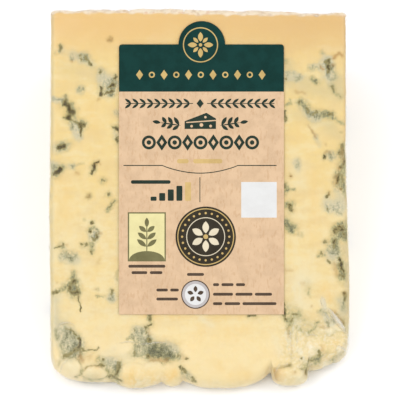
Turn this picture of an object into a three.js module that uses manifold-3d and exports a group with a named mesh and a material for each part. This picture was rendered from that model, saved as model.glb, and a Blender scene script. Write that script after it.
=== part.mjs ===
// A wedge of blue-veined cheese, vacuum packed in clear film, with a printed paper label on its upper cut face.
//
// The wedge is cut from a round truckle that stands on its flat end. Two radial cuts make the two big faces, and two
// level cuts make the left and right ends. The curved outside is the rind. The thin end is the broken core of the
// truckle, which has crumbled into rounded lumps that the film wraps.
//
// Millimetres. The wedge lies on its lower cut face: +Z up, +X across the wedge along the truckle's own axis, and +Y
// along the base from the thin end to the rind. The origin is the centre of the bounding box's bottom.

import * as THREE from "three";
import { mergeVertices } from "three/addons/utils/BufferGeometryUtils.js";
import Module from "manifold-3d";

// ---- driving dimensions -------------------------------------------------------------------------------------------
const TRUCKLE_RADIUS = 106; // axis of the truckle to the outside of the rind
const CORE_RADIUS = 8; // axis of the truckle to the furthest point of the broken thin end
const WEDGE_ANGLE = THREE.MathUtils.degToRad(27.5); // between the two cut faces
const HALF_WIDTH = 38.25; // half the distance between the level end cuts
const END_ROUNDING = 2.0; // radius along the edges of the end cuts
const RIND_ROUNDING = 2.2; // radius where a cut face meets the rind
const RIND_LEAN = 0.65; // how much less the rind's radius is at the right end than at the left
const NOSE_LENGTH = 3.4; // depth of the rounded thin end
const NOSE_LEAN = 0.6; // how much further the thin end reaches halfway down than along the upper face
const BASE_SAG = 0.6; // how far the soft underside is pressed flat

const LABEL_LEFT = -20.45;
const LABEL_RIGHT = 22.1;
const LABEL_BOTTOM = 27.5; // measured up the cut face from the truckle's axis
const LABEL_TOP = 97.1;
const LABEL_CORNER = 0.8;
const ARCH_CENTRE = 0.9;
const ARCH_RADIUS = 6.0;
const LABEL_THICKNESS = 0.35;
const LABEL_GAP = 0.3;

// The thin end's outline, as rounded lobes that the film bridges: centre across the wedge, half width, distance of the
// lobe's foot beyond CORE_RADIUS, height of its rounded end, and roundness (2 is an ellipse, more is squarer).
const LOBES = [
  { at: -26.6, half: 11.6, foot: 2.0, rise: 6.2, power: 2 },
  { at: -16.5, half: 12.5, foot: 0.26, rise: 9.8, power: 2 },
  { at: -6.8, half: 2.7, foot: 0.72, rise: 2.0, power: 2 },
  { at: 6.3, half: 13.6, foot: 0.26, rise: 8.3, power: 2.4 },
  { at: 23.7, half: 5.1, foot: 1.03, rise: 4.0, power: 4 },
  { at: 31.0, half: 8.2, foot: 6.2, rise: 6.0, power: 2 },
];
const FILM_BRIDGE = 0.22; // how softly the film spans the notch between two lobes

// Swellings and hollows of the upper face: across, up the face from CORE_RADIUS, half sizes, and height.
const RELIEF = [
  { x: -32.4, v: 5.9, w: 2.4, h: 2.4, a: 0.9 },
  { x: -26.6, v: 4.6, w: 2.9, h: 2.1, a: 1.0 },
  { x: -12.4, v: 4.6, w: 6.8, h: 3.4, a: 1.0 },
  { x: 6.1, v: 10.3, w: 11.6, h: 8.2, a: 0.8 },
  { x: 23.7, v: 3.6, w: 4.1, h: 2.6, a: 1.2 },
  { x: 32.7, v: 12.9, w: 5.7, h: 5.7, a: 0.6 },
  { x: -33.6, v: 12.9, w: 2.6, h: 3.1, a: -0.9 },
  { x: -8.6, v: 10.3, w: 4.4, h: 1.9, a: -1.2 },
  { x: -22.2, v: 7.2, w: 2.1, h: 2.6, a: -0.8 },
];
const TIP_SWELL = 1.5; // extra thickness of the crumbled thin end
const TIP_SWELL_REACH = 12;

// ---- the shape's functions ----------------------------------------------------------------------------------------

// Distance past CORE_RADIUS at which the wedge begins, at x across it.
function tipStart(x) {
  let sum = 0;
  for (const l of LOBES) {
    const t = Math.abs(x - l.at) / l.half;
    const v =
      t < 1
        ? l.foot + l.rise * (1 - Math.pow(1 - Math.pow(t, l.power), 1 / l.power))
        : l.foot + l.rise + (t - 1) * l.half * 3;
    sum += Math.exp(-v / FILM_BRIDGE);
  }
  return -FILM_BRIDGE * Math.log(sum);
}

const smooth = (a, b, t) => THREE.MathUtils.smoothstep(t, a, b);

// 0 under the label and 1 well clear of it.
function clearOfLabel(x, r) {
  const top = LABEL_TOP + ARCH_RADIUS;
  const out = Math.max(LABEL_LEFT - x, x - LABEL_RIGHT, LABEL_BOTTOM - r, r - top);
  return smooth(0.5, 6, out);
}

// Height of the upper face's surface above the plain cut plane.
function relief(x, r) {
  const v = r - CORE_RADIUS;
  let z = TIP_SWELL * Math.exp(-((v / TIP_SWELL_REACH) ** 2));
  for (const k of RELIEF) z += k.a * Math.exp(-(((x - k.x) / k.w) ** 2) - ((v - k.v) / k.h) ** 2);
  z += 0.16 * Math.sin(0.21 * x + 0.13 * r) + 0.12 * Math.sin(0.17 * x - 0.26 * r + 1.3);
  return z * clearOfLabel(x, r);
}

// How far the two ends bulge outwards at r along a face.
function endBulge(side, r) {
  const v = r - CORE_RADIUS;
  return side > 0 ? 0.9 * Math.exp(-(((v - 22) / 19) ** 2)) : 0.25 * Math.exp(-(((v - 42) / 16) ** 2));
}

// Unevenness of the rind, and of the lower half of the thin end, where a runs from -90 degrees underneath.
const rindUneven = (x, a) => 0.3 * Math.sin(0.23 * x + 9 * a) + 0.2 * Math.sin(0.41 * x - 14 * a + 0.7);
const noseUneven = (x, a) => -Math.max(0, -Math.sin(a)) * Math.cos(a) * (1 + 0.9 * Math.sin(0.43 * x + 1));

const UP = { along: [Math.cos(WEDGE_ANGLE), Math.sin(WEDGE_ANGLE)], out: [-Math.sin(WEDGE_ANGLE), Math.cos(WEDGE_ANGLE)] };
const MIDDLE = [Math.cos(WEDGE_ANGLE / 2), Math.sin(WEDGE_ANGLE / 2)];
const at = (along, r, out, h) => [along[0] * r + out[0] * h, along[1] * r + out[1] * h];

// Places along the upper face, closer together at the crumbled end. They run from 0 to 1.
function faceSteps(n, bias) {
  return Array.from({ length: n }, (_, i) => Math.pow(i / (n - 1), bias));
}
const UPPER_STEPS = faceSteps(26, 1.35);
const LOWER_STEPS = faceSteps(9, 1.2);
const NOSE_STEPS = 7;
const CORNER_STEPS = 4;
const RIND_STEPS = 7;

// One closed loop in the plane across the wedge at x, pulled in by inset all round, as [y, z] points.
function section(x, inset) {
  const loop = [];
  const start = CORE_RADIUS + tipStart(x) + NOSE_LEAN + inset;
  const corner = Math.max(RIND_ROUNDING - inset, 0.4);
  const rim = TRUCKLE_RADIUS - RIND_LEAN * smooth(-16, 34, x) - inset;
  const reach = (h) => Math.sqrt((rim - corner) ** 2 - (h + corner) ** 2); // along a face to its corner's centre
  const lift = inset - BASE_SAG;
  const upperEnd = reach(inset);
  const lowerEnd = reach(lift);
  const first = start + NOSE_LENGTH;
  const upper = UPPER_STEPS.map((t) => {
    const r = first + (upperEnd - first) * t;
    return at(UP.along, r, UP.out, relief(x, r) - inset);
  });
  const lower = LOWER_STEPS.map((t) => [first + (lowerEnd - first) * t, lift - 0.15 * Math.sin(Math.PI * t)]);

  // the rounded thin end, from the underside to the upper face
  const [u0, l0] = [upper[0], lower[0]];
  const middle = [(u0[0] + l0[0]) / 2, (u0[1] + l0[1]) / 2];
  for (let i = 1; i < NOSE_STEPS; i++) {
    const a = Math.PI * (i / NOSE_STEPS - 0.5);
    const out = NOSE_LENGTH * Math.cos(a) + noseUneven(x, a);
    loop.push([
      middle[0] - out * MIDDLE[0] + ((u0[0] - l0[0]) / 2) * Math.sin(a),
      middle[1] - out * MIDDLE[1] + ((u0[1] - l0[1]) / 2) * Math.sin(a),
    ]);
  }
  loop.push(...upper);

  // the corner at the top of the rind, the rind, and the corner at its foot
  const rindTop = WEDGE_ANGLE - Math.asin((inset + corner) / (rim - corner));
  const rindFoot = Math.asin((lift + corner) / (rim - corner));
  const topCentre = at(UP.along, upperEnd, UP.out, -inset - corner);
  for (let i = 1; i <= CORNER_STEPS; i++) {
    const a = THREE.MathUtils.lerp(WEDGE_ANGLE + Math.PI / 2, rindTop, i / (CORNER_STEPS + 1));
    loop.push([topCentre[0] + corner * Math.cos(a), topCentre[1] + corner * Math.sin(a)]);
  }
  for (let i = 0; i <= RIND_STEPS; i++) {
    const t = i / RIND_STEPS;
    const a = THREE.MathUtils.lerp(rindTop, rindFoot, t);
    const rr = rim + rindUneven(x, a) * Math.sin(Math.PI * t);
    loop.push([rr * Math.cos(a), rr * Math.sin(a)]);
  }
  const footCentre = [lowerEnd, lift + corner];
  for (let i = 1; i <= CORNER_STEPS; i++) {
    const a = THREE.MathUtils.lerp(rindFoot, -Math.PI / 2, i / (CORNER_STEPS + 1));
    loop.push([footCentre[0] + corner * Math.cos(a), footCentre[1] + corner * Math.sin(a)]);
  }
  loop.push(...lower.reverse());
  return loop;
}

// Stations across the wedge: close together round its two ends and where the lobes of the thin end meet.
function stations() {
  const list = [];
  const flat = HALF_WIDTH - END_ROUNDING;
  const turn = 5;
  for (let i = turn; i >= 1; i--) {
    const a = ((i / turn) * Math.PI) / 2;
    list.push({ x: -flat - END_ROUNDING * Math.sin(a), inset: END_ROUNDING * (1 - Math.cos(a)) });
  }
  const places = new Set();
  const count = 30;
  for (let i = 0; i <= count; i++) places.add(-flat + (2 * flat * i) / count);
  for (const near of [-9.9, -4.3, 17.7, 18.7, 19.6, 28.6]) places.add(near);
  const sorted = [...places].sort((a, b) => a - b);
  sorted.forEach((x, i) => {
    if (i === 0 || x - sorted[i - 1] > 0.5) list.push({ x, inset: 0 });
  });
  for (let i = 1; i <= turn; i++) {
    const a = ((i / turn) * Math.PI) / 2;
    list.push({ x: flat + END_ROUNDING * Math.sin(a), inset: END_ROUNDING * (1 - Math.cos(a)) });
  }
  return list;
}

// The loops joined into one closed surface.
function lofted() {
  const rows = stations();
  const loops = rows.map((s) => section(s.x, s.inset));
  const n = loops[0].length;
  const positions = [];
  rows.forEach((s, i) => {
    for (const [y, z] of loops[i]) {
      const r = Math.hypot(y, z);
      const edge = Math.abs(s.x) / HALF_WIDTH;
      positions.push(s.x + Math.sign(s.x) * endBulge(Math.sign(s.x), r) * edge ** 6, y, z);
    }
  });
  const index = [];
  for (let i = 0; i + 1 < rows.length; i++)
    for (let j = 0; j < n; j++) {
      const [a, b] = [i * n + j, i * n + ((j + 1) % n)];
      const [c, d] = [a + n, b + n];
      index.push(a, c, b, b, c, d);
    }
  const cap = (loop, base, side) => {
    const outline = loop.map(([y, z]) => new THREE.Vector2(y, z));
    for (const [a, b, c] of THREE.ShapeUtils.triangulateShape(outline, [])) {
      const turned = Math.sign(THREE.ShapeUtils.area([outline[a], outline[b], outline[c]])) !== side;
      index.push(base + a, base + (turned ? c : b), base + (turned ? b : c));
    }
  };
  cap(loops[0], 0, -1);
  cap(loops[loops.length - 1], (rows.length - 1) * n, 1);
  const geometry = new THREE.BufferGeometry();
  geometry.setAttribute("position", new THREE.Float32BufferAttribute(positions, 3));
  geometry.setIndex(index);
  return geometry;
}

// ---- joining and cutting ------------------------------------------------------------------------------------------
const wasm = await Module();
wasm.setup();

function toSolid(geometry) {
  const plain = geometry.clone();
  for (const name of Object.keys(plain.attributes)) if (name !== "position") plain.deleteAttribute(name);
  const merged = mergeVertices(plain, 1e-4);
  return new wasm.Manifold(
    new wasm.Mesh({
      numProp: 3,
      vertProperties: new Float32Array(merged.attributes.position.array),
      triVerts: new Uint32Array(merged.index.array),
    }),
  );
}

function toGeometry(solid) {
  const mesh = solid.getMesh();
  const geometry = new THREE.BufferGeometry();
  geometry.setAttribute("position", new THREE.BufferAttribute(new Float32Array(mesh.vertProperties), 3));
  geometry.setIndex(new THREE.BufferAttribute(new Uint32Array(mesh.triVerts), 1));
  geometry.computeVertexNormals();
  return geometry;
}

// The underside is pressed flat where it rests: everything below z = 0 is cut away.
const floorCut = new THREE.BoxGeometry(200, 300, 20);
floorCut.translate(0, 50, -10);
const packGeometry = toGeometry(toSolid(lofted()).subtract(toSolid(floorCut)));
packGeometry.computeBoundingBox();
const box = packGeometry.boundingBox;

// The label's outline, with an arch on its top edge.
const outline = new THREE.Shape();
outline.moveTo(LABEL_LEFT, LABEL_BOTTOM);
outline.lineTo(LABEL_RIGHT, LABEL_BOTTOM);
outline.lineTo(LABEL_RIGHT, LABEL_TOP - LABEL_CORNER);
outline.absarc(LABEL_RIGHT - LABEL_CORNER, LABEL_TOP - LABEL_CORNER, LABEL_CORNER, 0, Math.PI / 2, false);
outline.lineTo(ARCH_CENTRE + ARCH_RADIUS, LABEL_TOP);
outline.absarc(ARCH_CENTRE, LABEL_TOP, ARCH_RADIUS, 0, Math.PI, false);
outline.lineTo(LABEL_LEFT + LABEL_CORNER, LABEL_TOP);
outline.absarc(LABEL_LEFT + LABEL_CORNER, LABEL_TOP - LABEL_CORNER, LABEL_CORNER, Math.PI / 2, Math.PI, false);
outline.lineTo(LABEL_LEFT, LABEL_BOTTOM);
const labelGeometry = new THREE.ExtrudeGeometry(outline, {
  depth: LABEL_THICKNESS,
  bevelEnabled: false,
  curveSegments: 10,
});

// ---- the object ---------------------------------------------------------------------------------------------------
const pack = new THREE.Mesh(
  packGeometry,
  new THREE.MeshStandardMaterial({ color: 0xf6dfa2, roughness: 0.35, metalness: 0 }),
);
pack.name = "film_pack";

const label = new THREE.Mesh(
  labelGeometry,
  new THREE.MeshStandardMaterial({ color: 0xe6c6a2, roughness: 0.6, metalness: 0 }),
);
label.name = "label";
label.position.z = LABEL_GAP;

// The upper cut face's own frame: x across, y up the face from the truckle's axis, z out of it.
const upperFace = new THREE.Group();
upperFace.rotation.x = WEDGE_ANGLE;
upperFace.add(label);

const object = new THREE.Group();
object.position.set(-(box.min.x + box.max.x) / 2, -(box.min.y + box.max.y) / 2, -box.min.z);
object.add(pack, upperFace);

export default object;
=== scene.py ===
import math

import bpy
import numpy as np
from mathutils import Matrix, Vector
from mathutils.bvhtree import BVHTree
from mathutils.geometry import delaunay_2d_cdt


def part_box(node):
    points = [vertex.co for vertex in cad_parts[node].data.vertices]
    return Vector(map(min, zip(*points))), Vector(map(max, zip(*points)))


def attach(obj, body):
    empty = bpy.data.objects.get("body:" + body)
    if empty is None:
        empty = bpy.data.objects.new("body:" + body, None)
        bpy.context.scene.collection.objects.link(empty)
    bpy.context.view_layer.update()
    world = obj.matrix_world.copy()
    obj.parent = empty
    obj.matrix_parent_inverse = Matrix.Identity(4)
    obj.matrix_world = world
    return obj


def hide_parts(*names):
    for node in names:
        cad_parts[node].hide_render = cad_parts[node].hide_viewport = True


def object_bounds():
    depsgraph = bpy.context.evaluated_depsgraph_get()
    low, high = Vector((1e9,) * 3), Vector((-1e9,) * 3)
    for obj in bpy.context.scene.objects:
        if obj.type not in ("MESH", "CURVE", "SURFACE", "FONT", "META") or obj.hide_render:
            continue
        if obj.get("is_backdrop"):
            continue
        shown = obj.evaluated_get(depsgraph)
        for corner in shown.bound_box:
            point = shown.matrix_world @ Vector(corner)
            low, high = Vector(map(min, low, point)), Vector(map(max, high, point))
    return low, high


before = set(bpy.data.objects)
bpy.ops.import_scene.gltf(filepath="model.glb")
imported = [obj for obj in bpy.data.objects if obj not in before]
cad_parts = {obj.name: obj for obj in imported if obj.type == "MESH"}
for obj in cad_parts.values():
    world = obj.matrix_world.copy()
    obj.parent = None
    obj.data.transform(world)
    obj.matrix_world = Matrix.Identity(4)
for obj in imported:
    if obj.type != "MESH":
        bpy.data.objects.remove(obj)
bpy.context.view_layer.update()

# A wedge of blue-veined cheese in tight clear film, with a printed label on its upper cut face.
# Lengths are millimetres until a mesh is made. A place on the upper cut face is (x, r): across the wedge, and up the
# face from the axis of the whole cheese. Features on that face are placed in face units of 0.258 mm, read across from
# the left and down from the top.

# ---- dimensions, as in the solid model, but the long edges are rounded a little less, the lobes of the broken end
# are trimmed by up to a millimetre and one crumb is added --------------------------------------------------------
TRUCKLE_RADIUS = 106.0
CORE_RADIUS = 8.0
WEDGE_ANGLE = math.radians(27.5)
HALF_WIDTH = 38.25
END_ROUNDING = 1.4
RIND_ROUNDING = 2.2
RIND_LEAN = 0.65
NOSE_LENGTH = 3.4
NOSE_LEAN = 0.6
BASE_SAG = 0.6
LABEL_LEFT, LABEL_RIGHT = -20.45, 22.1
LABEL_BOTTOM, LABEL_TOP = 27.5, 97.1
LABEL_CORNER = 0.8
ARCH_CENTRE, ARCH_RADIUS = 0.9, 6.0
LOBES = [
    (-25.8, 12.2, 1.65, 6.2, 2.0),
    (-15.6, 10.8, 0.26, 9.8, 2.0),
    (-6.8, 2.7, 0.72, 2.0, 2.0),
    (6.2, 13.5, 0.26, 8.3, 2.4),
    (23.62, 4.82, 1.0, 4.0, 3.4),
    (31.0, 7.6, 6.25, 6.6, 2.2),
    (29.5, 3.0, 4.9, 2.2, 2.0),  # a small crumb in the corner beside the loose lump, finer than the solid shows
]
FILM_BRIDGE = 0.22
RELIEF = [
    (-32.4, 5.9, 2.4, 2.4, 0.9),
    (-26.6, 4.6, 2.9, 2.1, 1.0),
    (-12.4, 4.6, 6.8, 3.4, 1.0),
    (6.1, 10.3, 11.6, 8.2, 0.8),
    (23.7, 3.6, 4.1, 2.6, 1.2),
    (32.7, 12.9, 5.7, 5.7, 0.6),
    (-33.6, 12.9, 2.6, 3.1, -0.9),
    (-8.6, 10.3, 4.4, 1.9, -1.2),
    (-22.2, 7.2, 2.1, 2.6, -0.8),
]
TIP_SWELL, TIP_SWELL_REACH = 1.5, 12.0

UNIT = 0.2579  # one face unit
CHEESE_SKIN = 0.16  # the paste's surface under the outside of the film
CRUMB_REACH = 28.0  # the radius up to which the broken end is modelled most finely

ALONG = np.array([0.0, math.cos(WEDGE_ANGLE), math.sin(WEDGE_ANGLE)])
OUT = np.array([0.0, -math.sin(WEDGE_ANGLE), math.cos(WEDGE_ANGLE)])
MIDDLE = np.array([0.0, math.cos(WEDGE_ANGLE / 2), math.sin(WEDGE_ANGLE / 2)])

# the solid model is centred on its box, so the axis of the whole cheese lies here, in millimetres
label_low, label_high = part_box("label")
SHIFT = np.array([
    label_low[0] * 1000 - LABEL_LEFT,
    label_low[1] * 1000 - (LABEL_BOTTOM * math.cos(WEDGE_ANGLE) - 0.65 * math.sin(WEDGE_ANGLE)),
    0.0,
])


def unit_x(u):
    return (np.asarray(u, float) - 198.25) * UNIT


def unit_r(u):
    return CORE_RADIUS + (390.0 - np.asarray(u, float)) * UNIT


# ---- noise ------------------------------------------------------------------------------------------------------
def lattice(ix, iy, iz, seed):
    h = (ix * 374761393 + iy * 668265263 + iz * 1440662683 + seed * 1274126177) & 0xFFFFFFFF
    h = ((h ^ (h >> 13)) * 1274126177) & 0xFFFFFFFF
    h = ((h ^ (h >> 15)) * 2246822519) & 0xFFFFFFFF
    return (h ^ (h >> 16)) / 4294967296.0


def value_noise(p, seed=0):
    """Smooth noise from 0 to 1 at points p."""
    cell = np.floor(p).astype(np.int64)
    f = p - cell
    f = f * f * (3 - 2 * f)
    total = np.zeros(p.shape[:-1])
    for dx in (0, 1):
        for dy in (0, 1):
            for dz in (0, 1):
                w = (
                    (f[..., 0] if dx else 1 - f[..., 0])
                    * (f[..., 1] if dy else 1 - f[..., 1])
                    * (f[..., 2] if dz else 1 - f[..., 2])
                )
                total += w * lattice(cell[..., 0] + dx, cell[..., 1] + dy, cell[..., 2] + dz, seed)
    return total


def layered(p, size, octaves=3, seed=0):
    """Noise from about -1 to 1 whose largest features are size across."""
    total, weight, scale = 0.0, 0.0, 1.0 / size
    for k in range(octaves):
        amp = 0.5**k
        total = total + amp * (value_noise(p * scale, seed + 17 * k) * 2 - 1)
        weight += amp
        scale *= 2.03
    return total / weight * 1.5


def cells(p, size, seed=0):
    """Gap to the next of scattered cells, in cells, with a slanted height and a tone from 0 to 1 for each cell."""
    q = p / size
    base = np.floor(q).astype(np.int64)
    near = np.full(p.shape[:-1], 9.0)
    second = np.full(p.shape[:-1], 9.0)
    slant = np.zeros(p.shape[:-1])
    tone = np.zeros(p.shape[:-1])
    for dx in (-1, 0, 1):
        for dy in (-1, 0, 1):
            for dz in (-1, 0, 1):
                c = base + np.array([dx, dy, dz])
                own = [lattice(c[..., 0], c[..., 1], c[..., 2], seed + 101 * k) for k in range(4)]
                off = q - np.stack([c[..., k] + own[k] for k in range(3)], -1)
                d = np.sqrt((off**2).sum(-1))
                closer = d < near
                second = np.where(closer, near, np.minimum(second, d))
                near = np.where(closer, d, near)
                slant = np.where(closer, sum(off[..., k] * (own[(k + 1) % 3] - 0.5) for k in range(3)), slant)
                tone = np.where(closer, own[3], tone)
    return second - near, slant, tone


def step(a, b, t):
    t = np.clip((np.asarray(t, float) - a) / (b - a), 0, 1)
    return t * t * (3 - 2 * t)


# ---- the wedge's form -------------------------------------------------------------------------------------------
def tip_start(x):
    total = 0.0
    for at, half, foot, rise, power in LOBES:
        t = np.abs(x - at) / half
        inner = foot + rise * (1 - np.power(np.clip(1 - np.power(t, power), 0, 1), 1 / power))
        v = np.where(t < 1, inner, foot + rise + (t - 1) * half * 3)
        total = total + np.exp(-v / FILM_BRIDGE)
    return -FILM_BRIDGE * np.log(total)


def clear_of_label(x, r):
    across = np.maximum(LABEL_LEFT - x, x - LABEL_RIGHT)
    along = np.maximum(LABEL_BOTTOM - r, r - LABEL_TOP - ARCH_RADIUS)
    return step(0.5, 6, np.maximum(across, along))


def relief(x, r):
    v = r - CORE_RADIUS
    z = TIP_SWELL * np.exp(-((v / TIP_SWELL_REACH) ** 2))
    for cx, cv, w, h, a in RELIEF:
        z = z + a * np.exp(-(((x - cx) / w) ** 2) - ((v - cv) / h) ** 2)
    z = z + 0.16 * np.sin(0.21 * x + 0.13 * r) + 0.12 * np.sin(0.17 * x - 0.26 * r + 1.3)
    return z * clear_of_label(x, r)


def end_bulge(side, r):
    v = r - CORE_RADIUS
    return np.where(side > 0, 0.9 * np.exp(-(((v - 25) / 22) ** 2)), 0.25 * np.exp(-(((v - 42) / 16) ** 2)))


def rind_uneven(x, a):
    return 0.3 * np.sin(0.23 * x + 9 * a) + 0.2 * np.sin(0.41 * x - 14 * a + 0.7)


def nose_uneven(x, a):
    return -np.maximum(0, -np.sin(a)) * np.cos(a) * (1 + 0.9 * np.sin(0.43 * x + 1))


def circle(centre_y, centre_z, radius, angle):
    return centre_y + radius * np.cos(angle), centre_z + radius * np.sin(angle)


def upper_radii(x, inset, n_upper):
    """The radii of the upper face's points at each x, from the thin end to the rind's rounding."""
    first = CORE_RADIUS + tip_start(x) + NOSE_LEAN + inset + NOSE_LENGTH
    corner = np.maximum(RIND_ROUNDING - inset, 0.4)
    rim = TRUCKLE_RADIUS - RIND_LEAN * step(-16, 34, x) - inset
    upper_end = np.sqrt((rim - corner) ** 2 - (inset + corner) ** 2)
    near, far = n_upper
    t = np.linspace(0, 1, near, endpoint=False)[None, :]
    s = np.linspace(0, 1, far)[None, :]
    return np.concatenate([first + (CRUMB_REACH - first) * t, CRUMB_REACH + (upper_end - CRUMB_REACH) * s], axis=1)


def bulged(x, y, z):
    return x + np.sign(x) * end_bulge(np.sign(x), np.hypot(y, z)) * (np.abs(x) / HALF_WIDTH) ** 6


def upper_point(x, r, inset):
    h = relief(x, r) - inset
    y, z = ALONG[1] * r + OUT[1] * h, ALONG[2] * r + OUT[2] * h
    return np.stack([bulged(x, y, z), y, z], -1)


def loops(x, inset, counts):
    """The closed loop across the wedge at each x, as an array of stations by points by (x, y, z)."""
    n_nose, n_upper, n_corner, n_rind, n_lower = counts
    x, inset = x[:, None], inset[:, None]
    corner = np.maximum(RIND_ROUNDING - inset, 0.4)
    rim = TRUCKLE_RADIUS - RIND_LEAN * step(-16, 34, x) - inset
    lift = inset - BASE_SAG
    lower_end = np.sqrt((rim - corner) ** 2 - (lift + corner) ** 2)
    r = upper_radii(x, inset, n_upper)
    first, upper_end = r[:, :1], r[:, -1:]
    h = relief(x, r) - inset
    upper_y = ALONG[1] * r + OUT[1] * h
    upper_z = ALONG[2] * r + OUT[2] * h
    t = np.linspace(0, 1, n_lower)[None, :] ** 1.1
    lower_y = first + (lower_end - first) * t
    lower_z = lift + 0 * lower_y

    a = math.pi * (np.arange(1, n_nose)[None, :] / n_nose - 0.5)
    out = NOSE_LENGTH * np.cos(a) + nose_uneven(x, a)
    mid_y, mid_z = (upper_y[:, :1] + lower_y[:, :1]) / 2, (upper_z[:, :1] + lower_z[:, :1]) / 2
    nose_y = mid_y - out * MIDDLE[1] + (upper_y[:, :1] - lower_y[:, :1]) / 2 * np.sin(a)
    nose_z = mid_z - out * MIDDLE[2] + (upper_z[:, :1] - lower_z[:, :1]) / 2 * np.sin(a)

    rind_top = WEDGE_ANGLE - np.arcsin((inset + corner) / (rim - corner))
    rind_foot = np.arcsin((lift + corner) / (rim - corner))
    k = np.arange(1, n_corner + 1)[None, :] / (n_corner + 1)
    top_y = ALONG[1] * upper_end + OUT[1] * (-inset - corner)
    top_z = ALONG[2] * upper_end + OUT[2] * (-inset - corner)
    a = (WEDGE_ANGLE + math.pi / 2) * (1 - k) + rind_top * k
    top = circle(top_y, top_z, corner, a)
    t = np.linspace(0, 1, n_rind)[None, :]
    a = rind_top * (1 - t) + rind_foot * t
    rind = circle(0.0, 0.0, rim + rind_uneven(x, a) * np.sin(math.pi * t), a)
    a = rind_foot * (1 - k) - math.pi / 2 * k
    foot = circle(lower_end, lift + corner, corner, a)

    y = np.concatenate([nose_y, upper_y, top[0], rind[0], foot[0], lower_y[:, ::-1]], axis=1)
    z = np.concatenate([nose_z, upper_z, top[1], rind[1], foot[1], lower_z[:, ::-1]], axis=1)
    return np.stack([bulged(x, y, z), y, z], -1)


def stations(skin, side_step, middle_step, turn):
    flat = HALF_WIDTH - END_ROUNDING
    a = np.linspace(1, 0, turn, endpoint=False) * math.pi / 2
    round_x = -flat - (END_ROUNDING - skin) * np.sin(a)
    round_in = skin + (END_ROUNDING - skin) * (1 - np.cos(a))
    left = np.linspace(-flat, LABEL_LEFT, max(2, round((LABEL_LEFT + flat) / side_step)), endpoint=False)
    middle = np.linspace(LABEL_LEFT, LABEL_RIGHT, max(2, round((LABEL_RIGHT - LABEL_LEFT) / middle_step)), endpoint=False)
    right = np.linspace(LABEL_RIGHT, flat, max(2, round((flat - LABEL_RIGHT) / side_step)))
    x = np.concatenate([round_x, left, middle, right, -round_x[::-1]])
    inset = np.concatenate([round_in, np.full(left.size + middle.size + right.size, skin), round_in[::-1]])
    return x, inset


def face_place(p):
    """(x, r, h) of points: across, up the upper face, and out of it."""
    return p[..., 0], p @ ALONG, p @ OUT


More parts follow.
